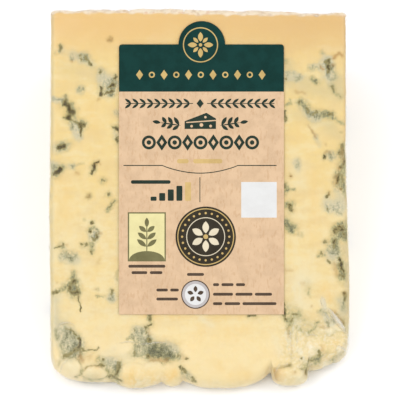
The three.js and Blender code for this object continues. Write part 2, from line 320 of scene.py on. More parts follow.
# ---- where the mould, the warmer paste and the crumbs are -------------------------------------------------------
# kind, half width, strength, then the line's points, in face units
VEINS = [
    # left of the label, from the rind down
    ("halo", 6.5, 0.35, 66, 51, 82, 56), ("dark", 1.4, 0.66, 60.7, 46, 60.5, 50.5), ("mid", 1.3, 0.6, 60, 51, 55, 54),
    ("brown", 1.3, 0.8, 71.3, 61), ("mid", 1.0, 0.6, 71.4, 59, 72.2, 55), ("dark", 1.2, 0.46, 80.6, 56, 81.4, 60.5),
    ("mid", 3.2, 0.9, 85.5, 57.5), ("dark", 1.2, 0.58, 85.6, 56.5, 88.5, 60, 92, 65), ("halo", 5.5, 0.45, 74, 56, 92, 64),
    ("brown", 1.9, 0.9, 108, 39.6, 111, 39.8), ("mid", 1.7, 0.8, 109.6, 39.8), ("dark", 0.8, 0.4, 110, 39.7), ("dark", 1.9, 0.8, 101, 71.5),
    ("halo", 3.6, 0.5, 101, 72), ("halo", 7.0, 0.95, 103, 79, 112, 84), ("dark", 2.2, 1.0, 113.6, 84.8), ("dense", 2.6, 0.5, 112.8, 86.2), ("mid", 3.0, 0.5, 104.8, 82, 109.4, 85.6), ("mid", 1.6, 0.7, 109.6, 95.8, 113.8, 95.4),
    ("dark", 1.1, 0.85, 115.4, 79, 116, 76), ("dark", 1.0, 0.8, 108.5, 86.6, 113, 84.5), ("mid", 2.2, 0.7, 116.6, 81.5),
    ("dark", 0.9, 0.85, 100, 87, 100.1, 90, 100.6, 94), ("dark", 1.6, 0.85, 100.5, 93.6), ("brown", 1.4, 0.7, 99, 99.3),
    ("dark", 0.9, 0.75, 105, 94.6, 108, 92.4, 110.5, 93.6, 112.5, 91.4), ("halo", 5.0, 0.6, 109, 94),
    ("mid", 2.8, 0.8, 81.2, 89.4), ("halo", 5.5, 0.45, 79, 90), ("halo", 3.0, 0.9, 52, 98.8, 64, 101),
    ("mid", 1.2, 0.6, 52, 99, 62, 100.5), ("dark", 1.6, 0.46, 65.7, 96.5, 66.2, 100.4),
    ("dark", 2.3, 1.0, 64.6, 103.6, 68.6, 107, 69.4, 110.5, 72.0, 112.5), ("dark", 2.4, 1.0, 68.4, 117.4),
    ("dark", 0.8, 0.6, 63.5, 118, 69, 118.2, 75, 121.4, 79, 122.6), ("mid", 1.6, 0.6, 71.8, 105, 72.6, 108.4), ("mid", 1.8, 0.46, 73.4, 119), ("mid", 1.5, 0.8, 71.6, 120, 71.8, 126.8),
    ("mid", 2.9, 1.0, 81.4, 124.4), ("dark", 2.2, 0.8, 80.6, 124.2, 83.8, 124.8), ("dark", 0.8, 0.8, 80.9, 126, 80.6, 136),
    ("halo", 5.5, 0.9, 75.4, 127, 77.4, 137), ("mid", 0.9, 0.35, 78.7, 108), ("mid", 3.2, 0.74, 59.8, 147.6, 64.8, 146.0),
    ("dark", 1.9, 0.95, 59.0, 147.6, 64.0, 145.6), ("dark", 1.6, 0.7, 64.8, 145), ("halo", 5.0, 0.5, 58, 149, 65, 147),
    ("mid", 2.2, 0.7, 117.2, 113.5), ("halo", 4.5, 0.4, 116, 113), ("dark", 1.0, 0.75, 112.6, 126.8, 117, 129),
    # the dull stroke down the label's left edge and the warm stroke under its lower edge are the label's painted shadow
    ("dark", 2.0, 0.85, 117.8, 130.2), ("dark", 1.5, 0.7, 117.6, 138.5, 117.3, 142), ("halo", 5.0, 0.4, 115, 135), ("dull", 1.0, 0.3, 117.8, 98, 117.8, 312), ("warm", 2.0, 0.5, 140, 316.6, 240, 316.6),
    ("dark", 1.6, 1.2, 57.2, 172.6, 60.6, 168.4), ("mid", 3.0, 0.5, 61.5, 167), ("mid", 2.2, 0.76, 54.0, 166, 54.6, 171.4), ("dark", 1.5, 0.95, 55.8, 171.4, 55.6, 173.8), ("halo", 5.0, 0.7, 53, 164, 52, 169),
    ("mid", 2.2, 0.75, 72.2, 166.6), ("halo", 4.6, 0.5, 71, 166), ("brown", 1.3, 0.6, 75.4, 172.7, 78.4, 172.6),
    ("mid", 0.9, 0.4, 77, 164.2, 84, 163.8), ("dark", 0.85, 1.0, 98.2, 161.6, 94.8, 162.7, 93.8, 166.4), ("brown", 1.7, 0.6, 98, 161.8, 94, 166),
    ("dark", 1.1, 0.95, 93.6, 166.4, 93.7, 168.6), ("dark", 1.0, 0.85, 93, 170.6, 91.2, 173.8), ("brown", 1.1, 0.7, 100.6, 164.3),
    ("dark", 1.5, 0.7, 103.2, 180.7), ("mid", 2.2, 0.55, 103.2, 180.7), ("brown", 2.0, 0.6, 88.2, 196.4), ("mid", 1.8, 0.8, 88.4, 196.2),
    ("dark", 0.8, 0.3, 87.8, 196.6, 89.6, 195.2), ("dark", 1.4, 0.75, 108.2, 194.3), ("mid", 2.2, 0.5, 108.2, 194.6),
    ("mid", 1.5, 0.6, 114.8, 200.6, 111, 205.8, 107.3, 211), ("dark", 0.7, 0.45, 114.4, 201, 109.4, 207.5),
    ("dark", 1.3, 0.65, 92.6, 222.8), ("mid", 1.7, 0.45, 85, 220), ("dark", 1.6, 0.9, 90.1, 231.2),
    ("mid", 1.0, 0.7, 91, 229, 95.5, 228.4, 99, 233), ("halo", 4.4, 1.0, 94.4, 235.4), ("mid", 2.6, 0.6, 94.6, 236.6),
    ("dark", 0.8, 0.7, 96.8, 234, 97.0, 238, 95.0, 240.8, 92.6, 238), ("brown", 1.1, 0.6, 99.9, 233.8),
    ("mid", 1.9, 0.85, 92.2, 243.4, 92, 249.6), ("dark", 1.5, 0.7, 91.8, 252.6), ("dark", 1.3, 0.65, 81.6, 245),
    ("dark", 1.3, 0.65, 86.3, 245), ("mid", 1.1, 0.5, 81.6, 245, 86.3, 245), ("dark", 1.5, 0.75, 62.7, 244.4),
    ("mid", 2.0, 0.7, 62.3, 247.4), ("dark", 0.8, 0.6, 60.8, 246.8, 54.5, 247.6), ("brown", 0.9, 0.6, 67.2, 244.6),
    ("mid", 4.0, 0.7, 65.4, 256.6, 69.6, 257.6), ("dense", 2.6, 0.26, 64.6, 256.8, 69.4, 257.8), ("mid", 2.6, 0.4, 75.4, 256.6), ("halo", 6.5, 0.6, 64, 258, 77, 260),
    ("dark", 1.2, 0.32, 63.8, 256, 68.6, 254.4), ("mid", 2.0, 0.75, 74.2, 272.6, 74, 277), ("dark", 2.3, 1.1, 73.4, 281.8), ("dark", 1.7, 0.8, 71.8, 283.6),
    ("mid", 4.6, 1.0, 73.2, 288.2, 74.2, 291.4), ("dense", 3.2, 0.3, 72.4, 286, 74.6, 291.6), ("dark", 1.4, 0.72, 69.4, 287, 70.6, 292.4, 74.6, 294.8, 77.4, 292.4),
    ("dark", 1.0, 0.5, 75.6, 284.4, 77.2, 289), ("dark", 0.35, 0.95, 78.2, 295.4, 79.4, 303, 80.9, 310.6), ("mid", 1.4, 0.5, 78.6, 296.2), ("brown", 1.2, 0.4, 79, 295.8),
    ("mid", 1.6, 0.7, 65.4, 285.6, 62.4, 288.8, 57.6, 291.2), ("dark", 1.3, 0.7, 53.2, 293.2, 56.4, 291.8),
    ("haze", 4.5, 0.4, 62, 289), ("brown", 1.1, 0.5, 57, 282.8), ("mid", 1.3, 0.6, 97.4, 289.2), ("brown", 1.5, 0.4, 94.8, 289), ("mid", 1.2, 0.7, 97, 296.2, 103.5, 296.2),
    ("dark", 1.4, 0.7, 112.2, 290), ("dark", 1.0, 0.6, 110.8, 292.6, 110.8, 294.6), ("halo", 5.0, 0.85, 111.6, 298.4),
    ("mid", 2.6, 0.5, 111, 299), ("mid", 1.5, 0.5, 117, 271.5, 116.4, 278.5), ("brown", 1.2, 0.3, 99, 259.5, 98, 262),
    ("haze", 7.0, 0.25, 60, 300, 62, 318), ("haze", 5.0, 0.2, 72, 304, 70, 314),
    # lower left
    ("halo", 10.0, 0.8, 63, 331, 72, 349), ("haze", 4.6, 0.34, 61, 327, 65, 333), ("mid", 2.6, 0.5, 56.2, 331, 56.8, 337), ("wool", 5.0, 0.66, 69.6, 336, 72.4, 341, 76.6, 348), ("mid", 3.4, 0.5, 62.6, 344.6, 66, 351), ("dark", 1.0, 0.3, 66, 328.8, 71, 330, 76, 336),
    ("dark", 0.9, 0.16, 65, 338, 68, 342), ("dark", 1.7, 1.0, 79.6, 340.4, 79.0, 347.2), ("dense", 2.4, 0.46, 77.4, 344.6, 77, 348.6), ("mid", 2.6, 0.5, 80.4, 341), ("dark", 1.8, 0.6, 75, 349, 80.5, 351.5),
    ("dark", 1.7, 0.55, 72.6, 350.8, 68.4, 353.8, 64.8, 355.4), ("dark", 0.8, 0.52, 82, 348.6, 86.6, 350.6, 91, 349.6, 96.4, 349.4, 97.6, 347.4),
    ("brown", 2.3, 0.85, 80.6, 355.6, 81.8, 359.2), ("mid", 2.0, 0.4, 81, 356.8), ("brown", 2.6, 0.35, 89.5, 357.3), ("mid", 2.0, 0.5, 74, 356, 80, 353),
    ("mid", 3.0, 0.14, 66, 358, 70, 360), ("wool", 2.8, 0.66, 99, 358.5, 104, 361.5), ("dark", 1.2, 0.75, 103.4, 359.4),
    ("dark", 0.8, 0.6, 97.6, 364.6, 101, 363.6, 104.6, 364.8), ("halo", 5.0, 0.8, 110, 361, 116, 366), ("wool", 3.2, 0.54, 112, 364.6, 117, 368),
    ("dark", 1.2, 0.7, 118.4, 362.6, 117.6, 370.6), ("dense", 2.0, 0.36, 118.2, 363.4, 117.4, 371), ("wool", 2.8, 0.8, 115.8, 373.4), ("dark", 1.2, 0.7, 117.4, 372, 114.6, 375.4),
    ("dark", 1.0, 0.7, 110, 376.6, 114, 379.4, 121, 380.4), ("mid", 3.0, 0.5, 112, 380, 118, 384),
    ("mid", 0.7, 0.62, 76.4, 378, 80.8, 373, 84.2, 367.8, 88.4, 366, 94, 365.4, 102, 366.4, 107.4, 369.6, 109, 373.6, 106.6, 376.8, 99, 379, 87, 379, 81.4, 375.6), ("brown", 0.9, 0.45, 84.2, 367.8, 94, 365.6, 102, 366.6), ("dark", 0.6, 0.3, 81, 372.6, 84.6, 367.8), ("mid", 0.7, 0.42, 58.6, 366, 60.8, 359.6, 67, 356.6, 74, 356.8, 79.6, 360, 81.4, 366, 80.9, 372), ("mid", 1.3, 0.5, 84, 380.4, 92, 382, 101, 381.4), ("warm", 3.0, 0.8, 100, 372, 96, 376), ("dull", 3.0, 0.6, 88, 376, 97, 377.4), ("dark", 0.9, 0.4, 75.4, 376.8),
    ("halo", 7.0, 0.7, 137, 331, 146, 340), ("wool", 5.4, 0.24, 137, 332, 145, 341), ("mid", 1.1, 0.5, 132, 334, 134, 340.6), ("mid", 1.0, 0.55, 137, 330.6, 138.8, 338.6), ("mid", 1.0, 0.5, 141.4, 329, 142, 338), ("dark", 0.8, 0.4, 134.4, 328, 133.6, 333), ("brown", 1.3, 0.4, 149.4, 329, 149.8, 333.6), ("mid", 1.7, 0.66, 146.4, 328.6, 148.4, 333, 148.8, 341), ("mid", 1.2, 0.8, 135.4, 347.6, 133.6, 354.6), ("haze", 5.0, 0.6, 138, 347, 143, 351),
    ("dark", 1.4, 0.85, 150.6, 315.6, 150.8, 319.4), ("mid", 2.0, 0.5, 149, 318.6), ("dark", 0.8, 0.75, 151.8, 324.8, 148.4, 326.2, 145.6, 328.6, 146.4, 332),
    ("mid", 1.0, 0.5, 133, 337.8, 127, 338), ("dark", 1.5, 0.66, 149.0, 338.4, 149.0, 342), ("wool", 4.8, 0.44, 152.8, 350, 158, 350.6, 168, 353.6), ("dense", 4.4, 0.3, 153, 350.8, 168, 354.6), ("wool", 3.2, 0.55, 172, 354, 178.6, 356),
    ("dense", 4.2, 0.76, 154.6, 350.0, 160.0, 351.8), ("dense", 2.2, 0.7, 165.4, 350.6, 169.6, 356.6), ("dense", 1.9, 0.5, 148, 354.4, 151, 352.6), ("mid", 5.0, 0.48, 155, 351, 166, 354.2), ("dense", 0.8, 0.5, 152.4, 347, 153.6, 352.6), ("dense", 0.8, 0.45, 156.4, 347.6, 158.4, 353.4), ("dense", 0.8, 0.45, 161, 349, 163.4, 355), ("dark", 1.4, 0.36, 165, 355, 170, 357.6), ("dark", 1.2, 0.42, 177.8, 353.4, 178.4, 356.6),
    ("dark", 1.1, 0.5, 134, 351.4, 134.6, 356), ("dark", 1.6, 0.75, 147.8, 355.6), ("halo", 5.5, 0.7, 166, 345, 174, 349), ("halo", 6.0, 0.5, 139, 351, 150, 350),
    ("mid", 2.4, 0.5, 137.6, 346, 143, 347.4), ("haze", 4.0, 0.7, 119, 356.4, 131, 356), ("mid", 1.6, 0.6, 136, 354.8, 143, 354.8), ("brown", 1.6, 0.7, 150, 358.8, 158, 359.6, 168, 359.8), ("mid", 1.6, 0.5, 162.6, 362.6),
    ("dark", 1.5, 0.55, 186.6, 358.8), ("brown", 3.0, 0.35, 184, 357.6), ("dark", 1.1, 0.62, 180.2, 367, 183.4, 369.2, 185.2, 372.6),
    ("wool", 2.6, 0.44, 183.6, 372, 189.6, 378), ("dark", 1.3, 0.72, 192.4, 377.8, 194.6, 382), ("halo", 4.0, 0.5, 188, 374),
    # right of the label, from the rind down
    ("mid", 2.3, 0.85, 285.8, 60.8), ("halo", 5.6, 0.7, 287.5, 76, 299, 77), ("mid", 2.0, 0.6, 296.6, 79, 300.4, 76.6),
    ("mid", 1.2, 0.5, 287.4, 73.6, 293, 72.8), ("dark", 1.5, 0.85, 285.4, 77.8), ("mid", 2.2, 0.5, 311, 67.8, 318.6, 68.2),
    ("halo", 4.5, 0.5, 313, 66, 320, 64), ("mid", 2.0, 0.4, 322.6, 52), ("halo", 6.8, 0.95, 327, 60, 328.4, 77),
    ("dark", 1.1, 0.62, 325.4, 62, 327.0, 60.6), ("dark", 0.9, 0.6, 328.8, 58.8, 329.2, 63.4), ("dark", 1.3, 1.05, 328.8, 66.2, 329.2, 70.6), ("dense", 1.8, 0.8, 331.0, 67.0), ("dark", 1.4, 0.95, 329.0, 73.2), ("mid", 2.4, 0.5, 328.6, 74.6), ("dense", 1.3, 0.5, 325.8, 61.6), ("pale", 0.8, 0.8, 331.2, 60.4, 331, 63.6), ("pale", 1.0, 0.9, 326.6, 64.4, 327.4, 68.6),
    ("brown", 1.6, 0.7, 333.2, 64.8), ("brown", 1.0, 0.95, 321.2, 66.2, 323.2, 69.2), ("brown", 1.2, 1.25, 333.0, 57.4, 336, 55.4, 339.4, 53.6, 342, 55.8),
    ("mid", 2.2, 0.8, 312.8, 79, 316.4, 81.4), ("dark", 1.0, 0.5, 315.6, 81.4), ("mid", 1.4, 0.6, 335.2, 73.2, 335.4, 77.4),
    ("mid", 1.0, 0.5, 331.4, 79.6, 334.4, 80.2), ("mid", 1.6, 0.6, 331.4, 85.4, 333.4, 89.6), ("dark", 1.2, 0.6, 331.8, 86.4, 333.4, 89.6), ("mid", 1.1, 0.66, 334, 91.4, 341, 96.6),
    ("dark", 1.3, 0.5, 341.4, 96.8), ("brown", 1.0, 0.6, 296.4, 91.8, 304.6, 93), ("mid", 1.0, 0.5, 290.4, 99.4, 291, 102.4),
    ("mid", 1.3, 0.6, 291, 103, 286.6, 105.6), ("mid", 2.6, 0.8, 300.6, 100.6, 304, 105, 308, 110.8), ("haze", 3.2, 0.8, 305.6, 101.4, 307.4, 104), ("dark", 1.4, 0.75, 299.6, 101.6),
    ("dark", 1.2, 0.65, 308.2, 108.4, 308.6, 112.6), ("mid", 3.0, 0.8, 312.6, 115, 322, 114.4, 331.4, 114.8), ("dense", 1.9, 0.26, 302.6, 103.6, 308, 111, 314, 115, 331, 114.8),
    ("dark", 1.3, 0.55, 312.6, 114.8, 316.6, 111.8), ("dark", 1.4, 0.8, 330.2, 114.4, 332.6, 115.2), ("dark", 0.9, 0.2, 320, 115.4, 326, 114.4),
    ("halo", 5.0, 0.75, 309, 115, 316, 119), ("halo", 4.0, 0.4, 303, 109), ("mid", 1.4, 0.7, 333, 117.4, 338.4, 121.4, 344, 123.6),
    ("dark", 1.2, 0.7, 284.4, 112, 284.8, 120.6), ("brown", 1.4, 0.5, 308.4, 125.6), ("brown", 1.0, 0.75, 309.8, 127.4, 313.4, 133, 315.8, 137), ("mid", 1.0, 0.45, 311.8, 130.4, 316.6, 138.6),
    ("halo", 3.6, 0.6, 316, 138, 319.4, 146), ("mid", 1.2, 0.4, 341, 131.8), ("brown", 1.0, 0.5, 326, 144.5),
    ("dark", 0.75, 0.9, 323.6, 159.2, 324.4, 156.2), ("brown", 0.9, 0.6, 325, 153.6, 327, 151.6, 331, 152.8), ("mid", 1.4, 0.6, 327, 153, 331, 153.6, 333, 156), ("mid", 2.8, 0.6, 331.6, 157),
    ("halo", 5.0, 0.6, 331, 156), ("dark", 2.2, 0.6, 343.4, 146, 344.2, 150), ("dark", 1.6, 0.72, 339.6, 153.2, 343.6, 154), ("mid", 3.6, 0.6, 342, 156, 344, 165), ("brown", 2.4, 0.5, 342.6, 150, 343.6, 160),
    ("dark", 1.6, 0.75, 344.8, 160.6, 344.2, 164.4), ("dark", 1.6, 0.82, 340.4, 167.4), ("brown", 2.0, 0.7, 338.6, 169.4), ("brown", 2.2, 0.6, 335, 177, 336, 184), ("brown", 1.6, 0.6, 340.4, 189), ("halo", 4.6, 0.55, 295, 160, 298, 170),
    ("mid", 1.8, 0.45, 298.4, 159.6, 297.4, 166), ("mid", 4.0, 0.8, 338, 176, 340.4, 186), ("dark", 1.4, 0.95, 338.8, 175, 337.4, 182.6),
    ("dark", 1.3, 0.6, 341, 189.4), ("dark", 1.2, 0.5, 343, 176, 343.6, 182), ("dark", 1.0, 0.7, 290.2, 176.3), ("brown", 1.8, 0.95, 290.2, 176.3), ("mid", 2.6, 0.6, 284.8, 186, 285.8, 191.6),
    ("dark", 1.0, 0.4, 284.5, 183.4, 284.7, 187.6), ("mid", 1.5, 0.75, 287.4, 190.6, 293.6, 189.6), ("mid", 2.6, 0.75, 286.6, 204.6, 291.4, 204),
    ("dark", 1.8, 0.85, 289, 205.6, 291, 210.6), ("brown", 1.0, 0.4, 293, 212), ("mid", 4.0, 0.95, 286.8, 224, 291.6, 227.4), ("dense", 2.8, 0.28, 287.4, 224.6, 291, 228), ("dark", 1.6, 0.4, 286, 225),
    ("dark", 1.3, 0.35, 291.4, 224), ("mid", 1.9, 0.8, 293.6, 231), ("mid", 1.7, 0.4, 298, 234, 302.6, 235.4), ("dark", 1.1, 0.72, 327.0, 196.6, 328.4, 193.6), ("brown", 0.9, 0.5, 328.6, 193.4, 330.4, 191.2),
    ("halo", 8.0, 0.85, 328, 205, 338, 206), ("halo", 5.0, 0.5, 338, 192, 343.4, 207), ("haze", 4.0, 0.7, 344, 150, 345.4, 172), ("mid", 1.7, 0.5, 345.9, 143, 346.1, 176), ("mid", 2.2, 0.66, 345.2, 182, 345.8, 195), ("mid", 1.2, 0.4, 333.6, 207, 341, 212.6), ("mid", 1.3, 0.6, 326.2, 205.6, 328.6, 208.2, 328.8, 211.8), ("dark", 0.9, 0.55, 327.8, 208.6),
    ("mid", 1.1, 0.4, 338.8, 203.6, 338.2, 212.6), ("mid", 0.9, 0.3, 335, 208.6, 340, 208), ("mid", 3.0, 0.76, 336.4, 230.2, 343.6, 228.4), ("dark", 1.8, 0.92, 334.4, 231.0, 338.0, 229.0), ("dark", 1.4, 0.85, 339.4, 227.8, 344.0, 230.2), ("brown", 2.4, 0.14, 333.4, 231, 343, 227), ("mid", 2.2, 0.26, 335, 226.6, 343, 224.6), ("mid", 1.8, 0.5, 334.4, 240, 335, 248),
    ("dark", 1.5, 0.8, 341.0, 228.4), ("dark", 1.0, 0.26, 331.6, 234.4), ("dark", 2.0, 0.94, 344.6, 235.8), ("mid", 2.9, 0.9, 345.2, 225.4, 346.8, 238), ("mid", 2.6, 0.6, 339, 235.4, 346, 236.6),
    ("mid", 2.8, 0.76, 335.2, 242.4), ("dark", 1.4, 0.82, 334.8, 240.2, 333.8, 246.4), ("mid", 1.6, 0.7, 338.6, 236, 337.4, 241), ("dark", 1.0, 0.66, 323.6, 242.4, 326.4, 241.4), ("dark", 1.4, 0.8, 321.5, 254.0),
    ("mid", 0.9, 0.6, 317, 256.6, 324, 255.8), ("mid", 4.0, 0.54, 330.6, 247.6, 340, 251.4), ("halo", 7.0, 0.9, 333, 254), ("mid", 1.2, 0.6, 331, 250, 337, 255),
    ("dark", 0.9, 0.55, 328.4, 260.4, 330, 262.2), ("dark", 1.5, 1.0, 339.6, 260.4, 340.2, 264.6), ("mid", 2.4, 0.5, 336.6, 261.6), ("dark", 1.1, 0.86, 340.4, 265.4, 342, 269.6, 343.4, 272.4), ("mid", 3.4, 0.9, 341, 268, 342.4, 277),
    ("dark", 1.0, 0.6, 340, 275.6, 343.6, 277), ("haze", 3.6, 0.8, 342, 283), ("brown", 2.0, 0.6, 334.6, 265, 336, 274), ("dark", 1.3, 0.95, 344.0, 294.0, 345.6, 299.8), ("brown", 1.4, 0.7, 344.0, 293.6),
    ("mid", 2.4, 0.6, 344, 303, 344, 308), ("brown", 1.3, 0.4, 285.6, 270.4, 292, 270), ("mid", 1.3, 0.36, 308.8, 288.6, 309.6, 295.4),
    ("haze", 4.0, 0.45, 307.6, 281, 308, 290), ("brown", 1.0, 0.75, 312.2, 305.4), ("brown", 1.6, 0.35, 302.6, 283.4), ("dark", 0.9, 0.6, 284.6, 303, 285, 312),
    ("mid", 3.0, 0.45, 286, 309), ("dark", 1.3, 0.9, 284.4, 312.6), ("dark", 1.6, 0.66, 284.6, 314, 285.8, 319.6), ("mid", 2.4, 0.4, 286.4, 320), ("dark", 1.0, 0.5, 290, 325), ("dark", 0.9, 0.4, 292.6, 319, 291.4, 321.4),
    ("mid", 1.1, 0.4, 287.6, 328, 290.4, 334, 291.4, 338.4), ("haze", 5.0, 0.6, 287, 318, 291, 328), ("dark", 1.0, 0.56, 292.6, 313.4, 296.4, 314.4),
    ("mid", 1.8, 0.3, 299.6, 309.6, 300.2, 313.6), ("dark", 1.0, 0.85, 248.6, 315.4, 255.8, 315.4), ("haze", 5.2, 0.3, 252, 319, 263, 323),
    ("haze", 8.5, 0.7, 298, 318, 314, 328), ("haze", 6.0, 0.36, 290, 300, 296, 314), ("haze", 9.0, 0.26, 300, 286, 318, 292), ("mid", 2.2, 0.3, 304, 321), ("mid", 1.3, 0.6, 309, 331.4, 314.4, 327.4, 317.6, 323), ("mid", 1.6, 0.45, 297, 328, 303, 332),
    # the thin brown and mid strokes from 333.6 to 344.4 across, beside the film's big fold, are its painted shadow
    ("halo", 5.4, 0.64, 325, 315, 332, 322), ("mid", 2.2, 0.4, 322.8, 312.6, 326, 313.6), ("mid", 1.4, 0.4, 331, 318, 334, 322), ("pale", 2.4, 0.6, 327, 320), ("mid", 0.9, 0.6, 327.4, 321, 328, 326.2), ("pale", 1.3, 0.8, 326, 316), ("brown", 0.8, 0.5, 320.6, 327, 324, 328.8, 328, 327.4), ("dull", 4.6, 0.6, 339.6, 300, 343.6, 313), ("halo", 4.4, 0.5, 340, 302, 343.6, 313), ("mid", 1.1, 0.5, 343.6, 303.4, 344.2, 308), ("haze", 2.2, 0.6, 341, 300.5), ("brown", 0.9, 0.6, 333.6, 309.8, 338.2, 315.0, 341.2, 318.6, 344.4, 323.8), ("mid", 0.9, 0.5, 336.6, 313.2, 340.6, 318.0, 344.4, 323.8), ("mid", 1.4, 0.7, 343.6, 320, 345.4, 331), ("brown", 1.2, 0.4, 323.6, 326.4),
    ("mid", 1.3, 0.4, 318, 312.6, 321, 310), ("dark", 1.3, 0.6, 317.8, 351.4, 318.8, 355.6), ("mid", 2.2, 0.46, 318.6, 354, 319.2, 358), ("mid", 2.0, 0.6, 311.4, 358.4, 318.2, 359.2), ("dark", 0.8, 0.5, 309.4, 360.6, 313.8, 359.6),
    ("mid", 3.2, 0.6, 306, 365, 318, 363), ("dark", 0.9, 0.6, 302, 357.5), ("mid", 1.0, 0.46, 273.6, 368.2, 279, 366.8, 284.4, 366.2, 288.6, 363.6), ("dark", 0.8, 0.26, 283.6, 366, 288.2, 364), ("mid", 1.0, 0.5, 300.6, 368.2, 306.4, 370.8), ("haze", 1.6, 0.5, 291, 343, 291.6, 356.6, 290.2, 364), ("brown", 1.4, 0.3, 291.6, 344, 291.6, 352), ("brown", 0.8, 0.4, 288.4, 327, 288.8, 336.6), ("brown", 0.9, 0.45, 320.6, 345, 321.2, 350.6),
    ("brown", 2.2, 0.85, 275.0, 369.2, 275.8, 379.0), ("brown", 3.0, 0.32, 279.0, 371, 280.4, 378), ("brown", 1.1, 0.24, 283, 366.2, 289.4, 363), ("warm", 4.0, 0.9, 280, 371, 290, 377), ("brown", 1.2, 0.9, 295, 372), ("dark", 1.8, 1.0, 306.8, 372.6), ("brown", 2.0, 0.5, 305.4, 373.6), ("haze", 3.8, 0.9, 333, 363, 345.6, 353), ("mid", 2.8, 0.2, 333, 363.4, 346, 353),
    ("dark", 0.9, 0.5, 334.4, 362), ("mid", 1.6, 0.24, 322, 357, 326, 353), ("brown", 0.8, 0.35, 322, 345, 323, 351),
    # warmer and more orange paste
    ("warm", 1.7, 1.0, 96.4, 368.6), ("warm", 4.5, 1.0, 128, 378, 134, 374), ("warm", 5.0, 0.9, 148, 371), ("warm", 4.5, 1.1, 174, 373, 168, 377), ("warm", 3.0, 0.8, 137, 380, 152, 381),
    ("warm", 4.0, 0.6, 132, 383), ("warm", 3.6, 0.5, 97, 357.6), ("warm", 4.0, 0.5, 217, 362, 220, 367), ("warm", 5.0, 0.55, 234, 376, 246, 374),
    ("warm", 3.4, 0.8, 324, 290, 331, 300), ("warm", 3.0, 0.6, 333.6, 343.4, 336, 340), ("warm", 6.0, 0.35, 228, 335, 246, 330), ("warm", 4.5, 0.5, 312, 174, 316, 216),
    ("warm", 7.0, 0.4, 64, 184, 68, 222), ("warm", 6.0, 0.4, 312, 226, 316, 240), ("warm", 6.0, 0.35, 88, 110, 96, 130), ("warm", 6.0, 0.35, 62, 66, 64, 84),
    ("warm", 5.0, 0.4, 302, 120, 296, 140), ("warm", 5.0, 0.4, 322, 346, 326, 352), ("warm", 1.6, 0.7, 293, 372), ("warm", 5.0, 0.3, 200, 330, 190, 350),
    # duller paste
    ("dull", 8.0, 0.55, 302, 86, 328, 91), ("dull", 5.0, 0.7, 338, 78, 341, 96), ("dull", 7.0, 0.4, 296, 114, 330, 125), ("dull", 4.0, 0.3, 55, 300, 56, 320), ("halo", 3.4, 0.44, 54.6, 300, 55.6, 320),
    ("dull", 8.0, 0.28, 66, 68, 100, 76), ("dull", 5.0, 0.6, 288, 64, 289, 84), ("dull", 4.5, 0.4, 296, 76, 306, 80), ("dull", 5.0, 0.35, 330, 126, 341, 138),
    # whiter paste, and painted highlights and sheen of the film
    # the stroke from 322.6 to 325.2 across, under the film's small fold, is a painted highlight
    ("pale", 7.0, 0.7, 66, 364, 74, 368), ("pale", 7.0, 0.6, 92, 372, 100, 373), ("pale", 5.0, 0.6, 104, 355, 112, 350), ("pale", 2.4, 1.0, 322.6, 300.6, 325.2, 308.8),
    # the three thin upright streaks from 286 to 300.4 across, 326 to 347 down, paint the film's sheen on the paste
    ("pale", 6.0, 0.6, 298, 300, 304, 306), ("pale", 8.0, 0.6, 297, 284, 305, 276), ("pale", 5.0, 0.5, 146, 366, 154, 362), ("pale", 4.0, 0.7, 295, 317, 298, 322), ("pale", 0.8, 0.9, 286, 330, 287.4, 347), ("pale", 0.7, 0.8, 292.8, 329, 294.4, 345), ("pale", 0.8, 0.8, 298.6, 326, 300.4, 340), ("pale", 0.8, 0.7, 299, 283, 300, 298), ("pale", 0.7, 0.7, 294, 287, 296, 300),
    ("pale", 5.0, 0.6, 288, 376, 302, 378), ("pale", 7.0, 0.5, 316, 336, 334, 332), ("pale", 6.0, 0.4, 302, 350, 298, 362), ("pale", 3.0, 0.6, 200, 318, 212, 326),
    ("pale", 7.0, 0.5, 56, 340, 54, 300), ("pale", 4.0, 0.5, 276, 340, 280, 352), ("pale", 6.0, 0.4, 120, 345, 128, 360), ("pale", 9.0, 0.35, 296, 160, 300, 180),
]
# what each kind of stroke leaves: mark, share of its strength, width as a factor and a sum, and steepness of its edge
PROFILES = {
    "dark": (("heart", 0.86, 1.06, 0.3, 2.0), ("mould", 0.4, 1.75, 1.0, 1.6)),
    "mid": (("mould", 0.54, 1.15, 0.3, 2.4), ("mould", 0.13, 1.7, 1.4, 1.8)),
    "halo": (("mould", 0.23, 1.05, 0.4, 2.2), ("blue", 0.9, 1.05, 0.4, 2.2)),
    "haze": (("mould", 0.23, 1.05, 0.4, 2.2),),
    "dense": (("mould", 1.0, 1.1, 0.3, 2.4), ("mould", 0.3, 1.6, 1.0, 1.8)),
    "dull": (("dull", 1.0, 1.15, 0.3, 2.0),),
    "wool": (("mould", 0.54, 1.15, 0.3, 2.4), ("mould", 0.16, 1.8, 1.6, 1.8), ("curl", 1.0, 1.3, 1.0, 2.4)),
    "brown": (("brown", 1.0, 1.1, 0.3, 2.0),),
    "warm": (("warm", 1.0, 1.15, 0.3, 2.0),),
    "pale": (("pale", 1.0, 1.15, 0.3, 2.0),),
}
KINDS = ("mould", "heart", "curl", "blue", "brown", "warm", "pale", "dull")

# rounded lumps of the broken end: place, half sizes, height, turn in degrees, and how dark the groove round it is
# painted, partly mould stain and partly painted shade
CRUMBS = [
    (69.6, 367.4, 12.8, 10.8, 0.95, -8, 0.4), (94.8, 372.0, 13.8, 7.4, 0.95, 3, 0.6), (132.0, 375.0, 16.5, 13.5, 0.8, -8, 0.35),
    (153.5, 372.0, 11.5, 13.5, 0.5, 0, 0.3), (172.0, 373.0, 12.5, 14.0, 0.42, 5, 0.3), (290.5, 377.0, 18.0, 10.6, 1.05, 4, 0.8),
    (223.0, 364.0, 47.0, 29.0, 0.7, 0, 0.0), (316.0, 348.0, 13.0, 12.0, 0.55, 20, 0.4), (337.0, 340.0, 12.0, 15.0, 0.5, 0, 0.3),
    (298.0, 350.0, 10.0, 12.0, 0.45, -10, 0.3), (85.0, 352.5, 9.0, 5.0, 0.35, -10, 0.3),
]


